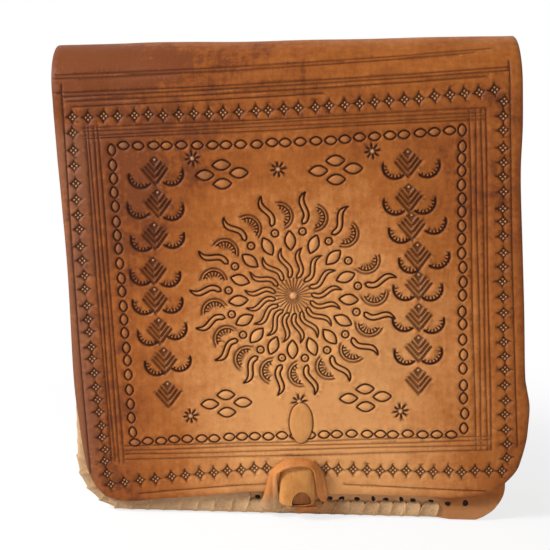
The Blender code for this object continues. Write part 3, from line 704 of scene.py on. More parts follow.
border = {
    "seed": 11,
    "starRows": (
        (29, (-112.7, 101.1), (-0.1, 99.7), (109.2, 103.8)),
        (26, (-114.2, 92.4), (-113.5, -12.4), (-109.2, -105.2)),
        (25, (114.1, 98.1), (112.2, 2.9), (113.0, -95.2)),
        (11, (-100.8, -103.5), (-57.1, -99.6), (-19.4, -97.2)),
        (14, (13.1, -98.1), (62.0, -101.2), (110.6, -102.2)),
    ),
    "starReach": (4.0, 4.3),
    "starWaist": 1.5,
    "starPit": {"depth": 0.70, "burnt": 0.80, "lip": 0.30},
    "dots": (1.28, 0.76, 0.68),  # how far out they stand, their radius and their rise
    "chainRows": (
        (23, (-86.8, 84.8), (-0.1, 82.3), (85.5, 84.4)),
        (21, (-93.6, 82.5), (-93.5, 6.0), (-93.6, -74.0)),
        (22, (92.0, 83.3), (90.6, 7.7), (90.1, -77.6)),
        (24, (-92.7, -80.0), (-6.0, -78.7), (83.1, -80.8)),
    ),
    "leafSize": (6.4, 4.3),
    "frameLines": (
        (-106.8, 104.4, 94.7, -90.3), (-104.8, 102.3, 92.8, -87.2),
        (-102.2, 99.2, 90.8, -84.6), (-99.8, 96.0, 89.0, -82.3),
    ),
    "foldLines": (
        ((-123.0, 123.6), (-7.0, 123.2), (108.0, 126.4)),
        ((-123.0, 121.5), (-7.0, 121.2), (100.0, 124.2)),
        ((-123.0, 114.0), (-7.0, 113.4), (117.0, 115.0)),
        ((-117.0, 111.8), (-7.0, 111.6), (117.0, 113.2)),
        ((-115.0, 109.3), (-7.0, 109.2), (106.0, 110.8)),
        ((-113.0, 106.4), (-50.0, 106.2), (20.0, 106.6)),
    ),
    "marginLines": (
        ((-117.6, 118.0), (-119.4, 3.0), (-119.4, -98.0)),
        ((117.2, 118.0), (117.2, 3.0), (118.6, -88.0)),
        ((-92.0, -110.4), (-52.0, -107.8), (-15.0, -106.3)),
        ((24.0, -107.8), (60.0, -110.8), (100.0, -113.6)),
    ),
}

sun = {
    "count": 16,
    "phase": math.radians(-1.5),
    "drift": math.radians(5.2),  # set out by hand, a little wider on the left
    "driftTowards": math.radians(157),
    "core": (2.4, 9.4),
    "coreStrokes": 27,
    "middle": {"radius": 2.0, "rise": 0.45},
    # From where to where each ray goes, half its width and how far it is turned
    "innerRay": ((9.8, 26.6), 1.15, -0.032),
    "outerRay": ((39.3, 56.6), 1.36, 0.035),
    "sway": 1.75,
    "missingRay": 1,  # there is no outer ray here
    "leafRadius": 30.0,
    "leafSize": (10.6, 5.7),
    "leafTurn": 0.02,
    "ringRadius": 35.2,
    "ringSize": 1.95,
    "ringTurn": 0.016,
    "ringPit": {"depth": 0.26, "burnt": 0.45, "lip": 0.0},
    "ringPitSize": 0.75,
    "moonRadius": 43.7,
    "moonTurn": math.radians(4.5),
    "moonPhase": math.radians(2.1),
    "moonArc": (math.radians(203), math.radians(361)),
    "moonOuter": 7.4,
    "moonInner": 5.7,
}

columns = {
    "left": ((-70.7, 70.5), (-70.2, 53.0), (-73.1, 35.5), (-75.2, 16.4), (-75.6, 0.2),
             (-74.4, -17.1), (-72.7, -34.0), (-72.0, -53.0)),
    "right": ((63.8, 68.3), (63.7, 49.9), (64.7, 34.9), (67.5, 18.8), (67.5, 2.8),
              (67.2, -14.5), (66.6, -31.9), (65.9, -50.0)),
    "halfSize": (7.4, 7.7),
    "chevrons": (-0.3, -3.8, -7.2),
    "slope": (0.625, 0.78),  # a chevron's arm, across and up
    "roof": ((0.0, 8.0), (-2.9, 5.8), (0.0, 1.7), (2.9, 5.8)),
    "roofPit": {"depth": 0.40, "burnt": 0.80, "lip": 0.15},
    "dot": {"radius": 0.85, "rise": 0.45, "burnt": 0.05},
    # Where the moons stand from their diamond's middle, left and right, as the hand set them
    "leftMoons": ((-8.0, -2.5, 8.7, -1.7), (-10.3, -1.1, 7.1, -2.9), (-6.9, -1.6, 9.4, -0.5),
                  (-6.6, -1.1, 8.0, -2.5), (-6.2, -1.2, 8.7, -0.9), (-5.7, -1.3, 8.7, 1.5),
                  (-4.6, -1.5, 8.1, 0.4)),
    "rightMoons": ((-7.0, -1.5, 10.0, -1.5), (-7.1, -2.1, 7.4, -2.2), (-5.7, -2.2, 11.7, 1.9),
                   (-3.7, -2.4, 10.2, -0.5), (-7.2, -1.2, 6.1, -1.9), (-7.8, -1.0, 6.9, -2.6),
                   (-6.8, -2.2, 6.0, -2.2)),
    "moonRadius": 6.4,
    "moonArc": (math.radians(166), math.radians(312)),
}

scattered = {
    "leafGroups": ((-34.9, 67.0), (25.7, 66.5), (-39.9, -59.4), (36.8, -58.5)),
    "leafOffsets": ((-9.2, 0.0), (0.0, 5.0), (9.2, 0.4), (0.0, -5.0)),
    "leafSize": (10.0, 5.5),
    "petal": (1.75, 3.75),
    "flowerDot": {"radius": 1.15, "rise": 0.35, "burnt": 0.05},
    "flowers": ((-50.2, 76.2), (-4.8, 68.3), (45.2, 75.5), (-60.2, -65.7), (55.6, -66.6),
                (0.4, -59.5)),
}


def rowPoint(row, t):
    start, middle, end = (np.array(p) for p in row)
    return start * (1 - t) * (1 - 2 * t) + middle * 4 * t * (1 - t) + end * t * (2 * t - 1)


def rowPlaces(count, row, drift):
    # Even places along a row, each a little off as a hand sets them, with the row's heading
    places = []
    for i in range(count):
        t = i / (count - 1)
        run = rowPoint(row, t + 0.01) - rowPoint(row, t - 0.01)
        heading = math.atan2(run[1], run[0])
        off = (drift.gauss(0, 0.35), drift.gauss(0, 0.22))
        off = placed([off], (0, 0), heading)[0]
        places.append((rowPoint(row, t) + off, heading + drift.gauss(0, 0.045)))
    return places


def pressStar(place, angle):
    outline = []
    along, upward = border["starReach"]
    tips = ((along, 0), (0, upward), (-along, 0), (0, -upward))
    for i, tip in enumerate(tips):
        following = tips[(i + 1) % 4]
        waist = np.array((tip[0] + following[0], tip[1] + following[1]))
        waist = waist / np.hypot(*waist) * border["starWaist"]
        for t in (0, 0.25, 0.5, 0.75):
            outline.append(np.array(tip) * (1 - t) ** 2 + waist * 2 * t * (1 - t)
                           + np.array(following) * t * t)
    pressPit(placed(outline, place, angle), **border["starPit"])
    out, radius, rise = border["dots"]
    for k in range(4):
        pressDome(placed([polar(out, k * math.pi / 2)], place, angle)[0], radius, rise)


def pressBorder():
    drift = random.Random(border["seed"])
    for count, *row in border["starRows"]:
        for place, heading in rowPlaces(count, row, drift):
            pressStar(place, heading)
    leaf = leafOutline(*border["leafSize"], 0.8)
    for count, *row in border["chainRows"]:
        for place, heading in rowPlaces(count, row, drift):
            pressStroke(placed(leaf, place, heading), **toolMarks["chainLeaf"])
    left, right, top, bottom = border["frameLines"][0]
    for a, b, c, d in border["frameLines"]:
        for line in (((a, bottom - 1), (a, top + 1)), ((b, bottom), (b, top)),
                     ((left - 1, c), (right, c)), ((left + 8, d), (right, d))):
            wave = [np.array(line[0]) * (1 - t) + np.array(line[1]) * t
                    + np.array((0.25, 0.25)) * math.sin(t * 9 + a) for t in np.linspace(0, 1, 40)]
            pressStroke(wave, **toolMarks["frameLine"])
    for row in border["foldLines"] + border["marginLines"]:
        pressStroke([rowPoint(row, t) for t in np.linspace(0, 1, 60)], **toolMarks["scoredLine"])


def sunAngle(steps):
    even = steps * math.tau / sun["count"]
    return even + sun["phase"] + sun["drift"] * math.cos(even - sun["driftTowards"])


def rayOutline(reach, halfWidth, angle):
    # A worm that starts round, sways and ends in a point
    left, right = [], []
    for t in np.linspace(0, 1, 17):
        radius = reach[0] + (reach[1] - reach[0]) * t
        sway = -sun["sway"] * math.sin(math.tau * t) + 0.3 * t
        run = -sun["sway"] * math.tau * math.cos(math.tau * t) / (reach[1] - reach[0])
        normal = np.array((-run, 1)) / math.hypot(run, 1)
        rounded = math.sqrt(max(0.0, 1 - (1 - min(1, t / 0.10)) ** 2))
        taper = 1 - max(0.0, (t - 0.66) / 0.34) ** 1.6
        half = halfWidth * rounded * taper
        left.append(np.array((radius, sway)) + normal * half)
        right.append(np.array((radius, sway)) - normal * half)
    return placed(np.array(left + right[-2:0:-1]), (0, 0), angle)


def pressToothedArc(centre, radius, start, end, teeth, reach, width, burnt, tooth):
    pressStroke(arc(centre, radius, start, end), width, 0.60, burnt, lip=0.26, step=0.8)
    for k in range(teeth):
        turn = start + (end - start) * (k + 0.5) / teeth
        fade = 0.65 + 0.35 * math.sin(math.pi * (k + 0.5) / teeth)
        line = [(centre[0] + r * math.cos(turn), centre[1] + r * math.sin(turn))
                for r in (radius, radius - reach * fade)]
        pressStroke(line, tooth, 0.48, burnt * 0.9, lip=0.16, step=0.6)


def pressSun():
    leaf = leafOutline(*sun["leafSize"])
    for k in range(sun["coreStrokes"]):
        turn = k * math.tau / sun["coreStrokes"] + 0.1
        line = [polar(r, turn) for r in np.linspace(*sun["core"], 8)]
        pressStroke(line, **toolMarks["sunCore"])
    pressDome((0.0, 0.0), **sun["middle"])
    for i in range(sun["count"]):
        angle, between = sunAngle(i), sunAngle(i + 0.5)
        spot = polar(sun["leafRadius"], angle)
        pressStroke(placed(leaf, spot, angle + sun["leafTurn"]), **toolMarks["sunLeaf"])
        for kind in ("innerRay", "outerRay"):
            reach, halfWidth, turn = sun[kind]
            if kind == "innerRay" or i != sun["missingRay"]:
                pressStroke(rayOutline(reach, halfWidth, between + turn), **toolMarks[kind])
        ring = polar(sun["ringRadius"], between + sun["ringTurn"])
        pressStroke(circle(ring, sun["ringSize"], 20), **toolMarks["ring"])
        pressPit(circle(ring, sun["ringPitSize"], 8), **sun["ringPit"])
        spot = polar(sun["moonRadius"], angle + sun["moonPhase"] + sun["moonTurn"])
        start, end = (angle + sun["moonPhase"] + side for side in sun["moonArc"])
        pressStroke(arc(spot, sun["moonOuter"], start, end), **toolMarks["moonBack"])
        pressToothedArc(spot, sun["moonInner"], start + 0.06, end - 0.04, **toolMarks["sunMoon"])


def pressColumns():
    half, tall = columns["halfSize"]
    run, rise = columns["slope"]
    moons = columns["leftMoons"] + (None,) + columns["rightMoons"] + (None,)
    start, end = columns["moonArc"]
    for place, moon in zip(columns["left"] + columns["right"], moons):
        place = np.array(place)
        for level in columns["chevrons"]:
            reach = (1 - level / tall) / (run / half + rise / tall)
            for hand in (-1, 1):
                tip = place + (run * reach * hand, level + rise * reach)
                pressStroke([place + (0, level), tip], **toolMarks["chevron"])
        pressPit(placed(evenLine(np.array(columns["roof"]), 0.9, True), place), **columns["roofPit"])
        pressDome(place + (0, 6.0), **columns["dot"])
        if moon:
            for offset, first, last in ((moon[:2], start, end), (moon[2:], math.pi - end, math.pi - start)):
                pressToothedArc(place + offset, columns["moonRadius"], first, last,
                                **toolMarks["columnMoon"])


def pressScattered():
    leaf = leafOutline(*scattered["leafSize"])
    for group in scattered["leafGroups"]:
        for offset in scattered["leafOffsets"]:
            spot = (group[0] + offset[0], group[1] + offset[1])
            pressStroke(placed(leaf, spot), **toolMarks["looseLeaf"])
    petal = [(reach, 0) for reach in scattered["petal"]]
    for flower in scattered["flowers"]:
        for k in range(8):
            pressStroke(placed(petal, flower, k * math.pi / 4 + 0.12), **toolMarks["petal"])
        pressDome(flower, **scattered["flowerDot"])


tab = {
    "centre": (5.5, 55.4),
    "halfWidth": 6.2,
    "halfHeight": 11.4,
    "face": -22.2,
    "proud": 0.75,
    "gap": 0.35,  # from its edge to the middle of the groove round it
    "points": 32,
}


def pressTabOutline():
    # The flap gives way all round the strap's end
    turns = np.linspace(0, math.tau, 40, endpoint=False)
    x = tab["centre"][0] + (tab["halfWidth"] + tab["gap"]) * np.cos(turns)
    w = tab["centre"][1] + (tab["halfHeight"] + tab["gap"]) * np.sin(turns)
    pressStroke(fromSheet(np.stack((x, w), axis=1)), **toolMarks["tabEdge"])


pressBorder()
pressSun()
pressColumns()
pressScattered()
pressTabOutline()
print("tooling pressed:", len(press["points"]), "points")


# The flap: half of the fold and the whole front, tooled

flap = {
    "rightSide": ((117.6, -103.0), (120.6, -95.9), (123.3, -86.0), (124.4, -78.0), (125.3, -66.5),
                  (123.9, -56.0), (123.1, -47.4), (123.0, -12.7), (122.5, 21.9), (122.0, 59.2),
                  (123.4, 86.3), (123.6, 120.0), (123.4, 156.0)),
    "leftSide": ((-123.2, 172.0), (-123.2, 118.0), (-123.4, 103.0), (-123.4, 80.0), (-123.0, 56.0),
                 (-123.0, 15.0), (-124.6, -43.0), (-123.6, -70.0), (-122.4, -86.8), (-121.0, -95.7),
                 (-117.6, -105.0)),
    "hem": ((-112.3, -111.4), (-104.5, -114.2), (-96.5, -114.9), (-82.1, -113.9), (-62.1, -113.2),
            (-43.9, -112.1), (-25.2, -111.0), (14.0, -113.4), (28.4, -114.1), (46.7, -115.2),
            (62.1, -116.0), (81.4, -117.4), (94.0, -116.5), (102.8, -114.8), (110.5, -110.4)),
    "gridStep": 2.7,
    "edgeStep": 1.4,
    "roundOver": 0.9,
}


def flapOutline():
    # Counter-clockwise in (u, v), from the lower left corner; the seam at the top is straight
    lower = smoothLine(flap["hem"] + flap["rightSide"], flap["edgeStep"])
    left = smoothLine(flap["leftSide"] + (flap["hem"][0],), flap["edgeStep"])
    lower, left = (cutAtSeam(line) for line in (lower, left[:-1]))
    start, end = toSheet(lower[-1:])[0], toSheet(left[:1])[0]
    seam = np.linspace(start, end, 90)[1:-1]
    flap["seamEnds"] = (end[0], start[0])
    return np.vstack((lower, fromSheet(seam), left)), len(lower), len(seam)


def cutAtSeam(line):
    # Keeps what lies in front of the fold's top, and ends the line exactly on it
    sheet = toSheet(line)
    keep = sheet[:, 1] < hide["apex"] - 0.3
    kept = sheet[keep]
    first = keep[0]
    end = kept[-1] if first else kept[0]
    tip = np.array([[end[0], hide["apex"]]])
    return fromSheet(np.vstack((kept, tip) if first else (tip, kept)))


def gridPoints(outline, step, margin):
    low, high = outline.min(axis=0), outline.max(axis=0)
    points = []
    for row, v in enumerate(np.arange(low[1], high[1], step * 0.87)):
        shift = step / 2 if row % 2 else 0
        points += [(u + shift, v) for u in np.arange(low[0], high[0], step)]
    points = np.array(points)
    points = points[insideOf(points, outline)]
    return points[distanceTo(points, outline, True) > margin]


def ripple(sheet):
    # Slow swells of the leather, outwards only
    swells = [noise.noise(Vector((x * 0.021, w * 0.021, 3.0))) for x, w in sheet]
    return 0.45 + 0.9 * np.array(swells)


def triangulate(points, lines, outline):
    # Triangles inside the outline, which is the first of the points
    places = [Vector(p) for p in outline] + [Vector(p) for p in points]
    count = len(outline)
    shifted = [(a + count, b + count) for a, b in lines]
    made = geometry.delaunay_2d_cdt(places, shifted, [list(range(count))], 1, 1e-5, True)
    verts = np.array([tuple(p) for p in made[0]])
    ring = [-1] * count
    for i, sources in enumerate(made[3]):
        for source in sources:
            if source < count:
                ring[source] = i
    # A triangle between three rim points may lie across a hollow in the rim
    rim = set(ring)
    faces = [face for face in made[2] if not rim.issuperset(face)]
    spans = [face for face in made[2] if rim.issuperset(face)]
    if spans:
        middles = np.array([verts[list(face)].mean(axis=0) for face in spans])
        faces += [face for face, inner in zip(spans, insideOf(middles, verts[ring])) if inner]
    return verts, faces, ring


def buildFlap():
    outline, lowerCount, seamCount = flapOutline()
    onSeam = np.zeros(len(outline), bool)
    onSeam[lowerCount - 1:lowerCount + seamCount + 1] = True
    # The face, with all the tooling
    inset = sideways(outline, flap["roundOver"] * 0.55, True)[~onSeam]
    points = np.array(press["points"] + [tuple(p) for p in inset])
    inside = insideOf(points, outline) & (distanceTo(points, outline, True) > 0.3)
    kept = np.nonzero(inside)[0]
    newIndex = {old: new for new, old in enumerate(kept)}
    lines = [(newIndex[a], newIndex[b]) for a, b in press["lines"] if a in newIndex and b in newIndex]
    grid = gridPoints(outline, flap["gridStep"], 1.6)
    verts, faces, ring = triangulate(np.vstack((points[kept], grid)), lines, outline)
    sheet = toSheet(verts)
    height, burnt, raised = reliefAt(verts)
    edge = distanceTo(verts, outline, True)
    # The surface comes back to the plain fold close to the seam with the back
    free = np.clip((hide["apex"] - sheet[:, 1]) / 4.0, 0, 1)
    over = np.clip(1 - edge / flap["roundOver"], 0, 1) * free
    height = height * np.clip(edge / 0.8, 0, 1) - 0.55 * over ** 2 + ripple(sheet) * free
    burnt = np.maximum(burnt, 0.40 * np.clip(1 - edge / 0.7, 0, 1) * free)
    places = onHide(sheet, height)
    # The flesh side, from the same rim
    inner = gridPoints(outline, 6.0, 3.0)
    backVerts, backFaces, backRing = triangulate(inner, [], outline)
    backSheet = toSheet(backVerts)
    backPlaces = onHide(backSheet, -hide["thickness"])
    # The cut edge between them
    rimSheet = toSheet(sideways(outline, -0.22, True))
    rimSheet[onSeam] = toSheet(outline)[onSeam]
    rimPlaces = onHide(rimSheet, ripple(rimSheet) * 0.4 - hide["thickness"] * 0.5)
    allPlaces = np.vstack((places, rimPlaces, backPlaces))
    allSheet = np.vstack((sheet, rimSheet, backSheet))
    allFaces = [tuple(f) for f in faces]
    skinCount = len(allFaces)
    rimStart, backStart = len(places), len(places) + len(outline)
    for i in range(len(outline)):
        j = (i + 1) % len(outline)
        allFaces.append((ring[i], rimStart + i, rimStart + j, ring[j]))
        allFaces.append((rimStart + i, backStart + backRing[i], backStart + backRing[j], rimStart + j))
    allFaces += [tuple(backStart + k for k in reversed(f)) for f in backFaces]
    pad = np.zeros(len(allPlaces) - len(places))
    return addHidePiece("tooledFlap", allPlaces, allFaces, allSheet, skinCount,
                        np.concatenate((burnt, pad)), np.concatenate((raised, pad)))


def addHidePiece(name, places, faces, sheet, skinCount, burnt, raised):
    mesh = bpy.data.meshes.new(name)
    mesh.from_pydata([tuple(p) for p in places], [], faces)
    mesh.materials.append(tooledSkin)
    mesh.materials.append(fleshSkin)
    skins = [int(i >= skinCount) for i in range(len(mesh.polygons))]
    mesh.polygons.foreach_set("material_index", skins)
    mesh.polygons.foreach_set("use_smooth", [True] * len(mesh.polygons))
    for label, values in (("burnt", burnt), ("raised", raised)):
        layer = mesh.attributes.new(label, "FLOAT", "POINT")
        layer.data.foreach_set("value", np.asarray(values, np.float32))
    layout = mesh.uv_layers.new(name="sheet")
    corners = np.zeros(len(mesh.loops), np.int32)
    mesh.loops.foreach_get("vertex_index", corners)
    layout.data.foreach_set("uv", (sheet[corners] * mm).astype(np.float32).ravel())
    mesh.update()
    piece = bpy.data.objects.new(name, mesh)
    bpy.context.scene.collection.objects.link(piece)
    return piece


tooledFlap = buildFlap()
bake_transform(tooledFlap)
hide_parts("flap_front")
print("flap built:", len(tooledFlap.data.polygons), "faces")


# Helpers for pieces made by hand in edit mode

def newPiece(name, skins):
    # Takes the primitive just added as a piece, with its place in its mesh
    piece = bpy.context.object
    bpy.ops.object.transform_apply(location=True, rotation=True, scale=True)
    piece.name = name
    piece.data.name = name
    for skin in skins:
        piece.data.materials.append(skin)
    return piece


def takeUp(pieces):
    # Selects these pieces alone, the first of them active
    bpy.ops.object.select_all(action="DESELECT")
    for piece in pieces:
        piece.select_set(True)
    bpy.context.view_layer.objects.active = pieces[0]


def leaveEdit():
    # Turns all faces outwards and goes back to object mode
    bpy.ops.mesh.select_all(action="SELECT")
    bpy.ops.mesh.normals_make_consistent(inside=False)
    bpy.ops.object.mode_set(mode="OBJECT")


def standingGrid(name, low, high, y, cells, back, skins):
    bpy.ops.object.select_all(action="DESELECT")
    middle = ((low[0] + high[0]) / 2 * mm, y * mm, (low[1] + high[1]) / 2 * mm)
    bpy.ops.mesh.primitive_grid_add(x_subdivisions=cells[0], y_subdivisions=cells[1], size=1,
                                    location=middle, rotation=(math.pi / 2, 0, math.pi if back else 0))
    bpy.context.object.scale = ((high[0] - low[0]) * mm, (high[1] - low[1]) * mm, 1)
    return newPiece(name, skins)


def pick(kind, test):
    # Selects what passes the test, which is given its place in mm and its normal
    mesh = bpy.context.edit_object.data
    bpy.ops.mesh.select_mode(type=kind)
    bpy.ops.mesh.select_all(action="DESELECT")
    bm = bmesh.from_edit_mesh(mesh)
    for item in {"EDGE": bm.edges, "FACE": bm.faces}[kind]:
        if kind == "EDGE":
            place, facing = (item.verts[0].co + item.verts[1].co) / 2, item.verts[0].normal
        else:
            place, facing = item.calc_center_median(), item.normal
        if test(place / mm, facing):
            item.select_set(True)
    bm.select_flush_mode()
    bmesh.update_edit_mesh(mesh)


def extrudeThrough(rings):
    # Extrudes what is selected from ring to ring; each ring lists the same corners in turn
    mesh = bpy.context.edit_object.data
    for before, after in zip(rings, rings[1:]):
        bpy.ops.mesh.extrude_region_move()
        bm = bmesh.from_edit_mesh(mesh)
        for vert in [v for v in bm.verts if v.select]:
            gaps = [(vert.co - Vector(corner) * mm).length for corner in before]
            vert.co = Vector(after[gaps.index(min(gaps))]) * mm
        bmesh.update_edit_mesh(mesh)


def cutCorner(centre, radius, hand, cuts=8):
    # Rounds a lower corner with cuts along its curve
    for k in range(cuts):
        turn = (k + 0.5) / cuts * math.pi / 2
        outward = Vector((hand * math.cos(turn), 0, -math.sin(turn)))
        bpy.ops.mesh.select_all(action="SELECT")
        place = (Vector((centre[0], 0, centre[1])) + outward * radius) * mm
        bpy.ops.mesh.bisect(plane_co=place, plane_no=outward, clear_outer=True)


def useModifier(piece, kind, **settings):
    modifier = piece.modifiers.new(kind.lower(), kind)
    for name, value in settings.items():
        setattr(modifier, name, value)
    bpy.context.view_layer.objects.active = piece
    bpy.ops.object.modifier_apply(modifier=modifier.name)


def smoothByAngle(piece, degrees):
    takeUp([piece])
    bpy.ops.object.shade_smooth_by_angle(angle=math.radians(degrees))


def softMove(piece, move):
    # Moves each point by what move gives for its place in mm
    for vert in piece.data.vertices:
        vert.co = Vector(move(*(vert.co / mm))) * mm
    piece.data.update()


def limited(value):
    # Kept between 0 and 1
    return min(1.0, max(0.0, value))


def drift3(x, y, z, size, seed):
    return noise.noise(Vector((x / size, y / size, z / size + seed * 7.3)))


# The back of the hide: up from the lower edge and over to the top of the fold

body = {
    "left": -120.25,
    "right": 116.75,
    "bottom": 1.9,
    "frontTop": 226.0,
    "gussetTop": 222.0,
    "cornerRadius": 28.0,
    "frontFace": -17.25,
    "frontBack": -14.75,
    "depth": (-14.45, 26.95),
    "thickness": 2.5,
    "backCells": (48, 48),
    "frontCells": (76, 72),
}


def buildHideBack():
    hideBack = standingGrid("hideBack", (body["left"], body["bottom"]), (body["right"], hide["foldZ"]),
                            hide["backFace"], body["backCells"], True, (tooledSkin, fleshSkin))
    bpy.ops.object.mode_set(mode="EDIT")
    trimCorners()
    pick("EDGE", lambda place, facing: place.z > hide["foldZ"] - 0.01)
    bpy.ops.mesh.spin(steps=16, angle=-math.pi / 2, axis=(1, 0, 0),
                      center=(0, hide["foldY"] * mm, hide["foldZ"] * mm))
    bpy.ops.mesh.select_all(action="SELECT")
    bpy.ops.mesh.remove_doubles(threshold=0.00001)
    bpy.ops.mesh.normals_make_consistent(inside=False)
    bpy.ops.object.mode_set(mode="OBJECT")
    softMove(hideBack, hideBackPlace)
    useModifier(hideBack, "SOLIDIFY", thickness=hide["thickness"] * mm, offset=-1.0,
                material_offset=1, material_offset_rim=1)
    useModifier(hideBack, "BEVEL", width=0.6 * mm, segments=2, limit_method="ANGLE",
                angle_limit=math.radians(60))
    smoothByAngle(hideBack, 50)
    laySheet(hideBack)
    return hideBack


def trimCorners():
    radius = body["cornerRadius"]
    low = body["bottom"] + radius
    cutCorner((body["left"] + radius, low), radius, -1)
    cutCorner((body["right"] - radius, low), radius, 1)


def acrossBack(x, w):
    # The sides draw in from the fold's width to the body's behind it
    share = limited((w - hide["apex"]) / 34)
    share = share * share * (3 - 2 * share)
    left = flap["seamEnds"][0] * (1 - share) + body["left"] * share
    right = flap["seamEnds"][1] * (1 - share) + body["right"] * share
    return left + (x - body["left"]) / (body["right"] - body["left"]) * (right - left)


def lengthOf(y, z):
    # How far along the sheet a place on the back lies
    if z <= hide["foldZ"]:
        return hide["backStart"] + hide["foldZ"] - z
    return hide["foldZ"] + hide["foldRadius"] * math.atan2(z - hide["foldZ"], hide["foldY"] - y)


def hideBackPlace(x, y, z):
    w = lengthOf(y, z)
    sheet = np.array([[acrossBack(x, w), w]])
    height = 0.0
    if w > hide["apex"] + 0.1:
        height = float(ripple(sheet)[0]) * min(1.0, (w - hide["apex"]) / 6)
    return onHide(sheet, np.array([height]))[0] / mm


def laySheet(piece):
    # The tooled face's pattern carries on over the back
    layout = piece.data.uv_layers.get("sheet") or piece.data.uv_layers.new(name="sheet")
    for loop in piece.data.loops:
        x, y, z = piece.data.vertices[loop.vertex_index].co / mm
        layout.data[loop.index].uv = (x * mm, lengthOf(y, z) * mm)


hideBack = buildHideBack()
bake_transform(hideBack)
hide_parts("back_panel", "flap_top")
print("hide back built:", len(hideBack.data.polygons), "faces")


# The body's front panel, with its row of lacing holes

seam = {
    "pitch": 9.3,
    "holeIn": 8.9,  # holes stand this far in from the seam
    "holeReach": 2.8,  # from a hole's middle to its corners
    "bareFrom": 82.0,  # the thong has worn away at the lower right corner from here
    "bareTo": 27.0,  # up to this height on the right side
    # Holes whose places can be seen, along the seam from where the right corner starts
    "seen": (-107.9, -67.1, -60.1, -52.0, -43.6, -35.7, -28.0, -20.6, -10.4, -1.0, 10.0, 20.0),
}


def seamPath():
    # The seam's corners in (x, z), from the left top round to the right top
    radius = body["cornerRadius"]
    left, right, low = body["left"], body["right"], body["bottom"]
    turns = np.linspace(0, math.pi / 2, 24)
    leftTurn = [(left + radius - radius * math.cos(t), low + radius - radius * math.sin(t)) for t in turns]
    rightTurn = [(right - radius + radius * math.sin(t), low + radius - radius * math.cos(t)) for t in turns]
    top = body["gussetTop"] - 2
    return np.array([(left, top)] + leftTurn + rightTurn + [(right, top)]), len(leftTurn) + 1


def seamStations(face):
    # Places along the seam with their heading, their inward way and the room to their neighbours
    path, turnStart = seamPath()
    marks = np.concatenate(([0], np.cumsum(np.hypot(*np.diff(path, axis=0).T))))
    fixed = [0] + [marks[turnStart] + place for place in seam["seen"]] + [marks[-1]]
    spots = [0]
    for before, after in zip(fixed, fixed[1:]):
        count = max(1, round((after - before) / seam["pitch"]))
        spots += [before + (after - before) * (k + 1) / count for k in range(count)]

    def along(spot):
        return Vector((np.interp(spot, marks, path[:, 0]), face, np.interp(spot, marks, path[:, 1])))

    stations = []
    last = len(spots) - 1
    for i, spot in enumerate(spots):
        heading = (along(spot + 0.5) - along(spot - 0.5)).normalized()
        room = (spots[min(i + 1, last)] - spots[max(i - 1, 0)]) / (2 if 0 < i < last else 1)
        stations.append((along(spot), heading, Vector((-heading.z, 0, heading.x)), room))
    return stations


def seamTallness(place):
    # The holes stand further in where the hem hides them, on the left
    if place.x > -24 or place.z > 60:
        return 1.0
    return 1.40 + 0.42 * limited((place.x + 100) / 75)


def isBare(place):
    return place.x > seam["bareFrom"] and place.z < seam["bareTo"]


def buildFrontPanel():
    frontPanel = standingGrid("frontPanel", (body["left"], body["bottom"]),
                              (body["right"], body["frontTop"]), body["frontFace"], body["frontCells"],
                              False, (bodySkin, fleshSkin, shadeSkin))
    holes = [place + inward * seam["holeIn"] * seamTallness(place)
             for place, along, inward, room in seamStations(body["frontFace"])]
    bpy.ops.object.mode_set(mode="EDIT")
    bm = bmesh.from_edit_mesh(frontPanel.data)
    for hole in holes:
        # The cell nearest each hole is drawn to the hole's size
        cell = min(bm.faces, key=lambda f: (f.calc_center_median() / mm - hole).length)
        for vert in cell.verts:
            way = vert.co / mm - hole
            vert.co = (hole + way.normalized() * seam["holeReach"]) * mm
    bmesh.update_edit_mesh(frontPanel.data)
    trimCorners()
    pick("FACE", lambda place, facing: min((place - hole).length for hole in holes) < 1.3)
    bpy.ops.mesh.inset(thickness=0.25 * mm, use_individual=True)
    bpy.ops.mesh.extrude_region_move(TRANSFORM_OT_translate={"value": (0, 0.0014, 0)})
    bpy.ops.object.mode_set(mode="OBJECT")
    # Painted shade: the hole floors take the near-black shade finish
    for face in frontPanel.data.polygons:
        if face.center.y > (body["frontFace"] + 0.7) * mm:
            face.material_index = 2
    softMove(frontPanel, frontPanelPlace)
    useModifier(frontPanel, "SUBSURF", levels=1, render_levels=1)
    return frontPanel


spread = {
    "turns": (0, 20, 45, 60, 75, 90),  # degrees round the lower right corner, from straight down
    "reach": (1.065, 1.17, 1.21, 1.20, 1.11, 1.05),
    "from": 72.0,
    "over": 16.75,
    "curl": 1.5,
}


def frontPanelPlace(x, y, z):
    # Slightly uneven everywhere, and spread outwards at the bare lower right corner
    swell = 0.35 * drift3(x, 0, z, 40, 1)
    radius = body["cornerRadius"]
    offX, offZ = x - (body["right"] - radius), body["bottom"] + radius - z
    share = limited((x - spread["from"]) / spread["over"])
    turn = math.degrees(math.atan2(max(0.0, offX), max(0.01, offZ)))
    reach = math.hypot(max(0.0, offX), max(0.0, offZ))
    grown = (np.interp(turn, spread["turns"], spread["reach"]) - 1) * min(1.0, reach / 18) * share
    grown = grown * limited(1 + offZ / 40)
    curl = spread["curl"] * share * limited((15 - z) / 8)
    return (x + max(0.0, offX) * grown, y - swell * 0.5 - 0.2 - curl,
            max(0.15, z - max(0.0, offZ) * grown))


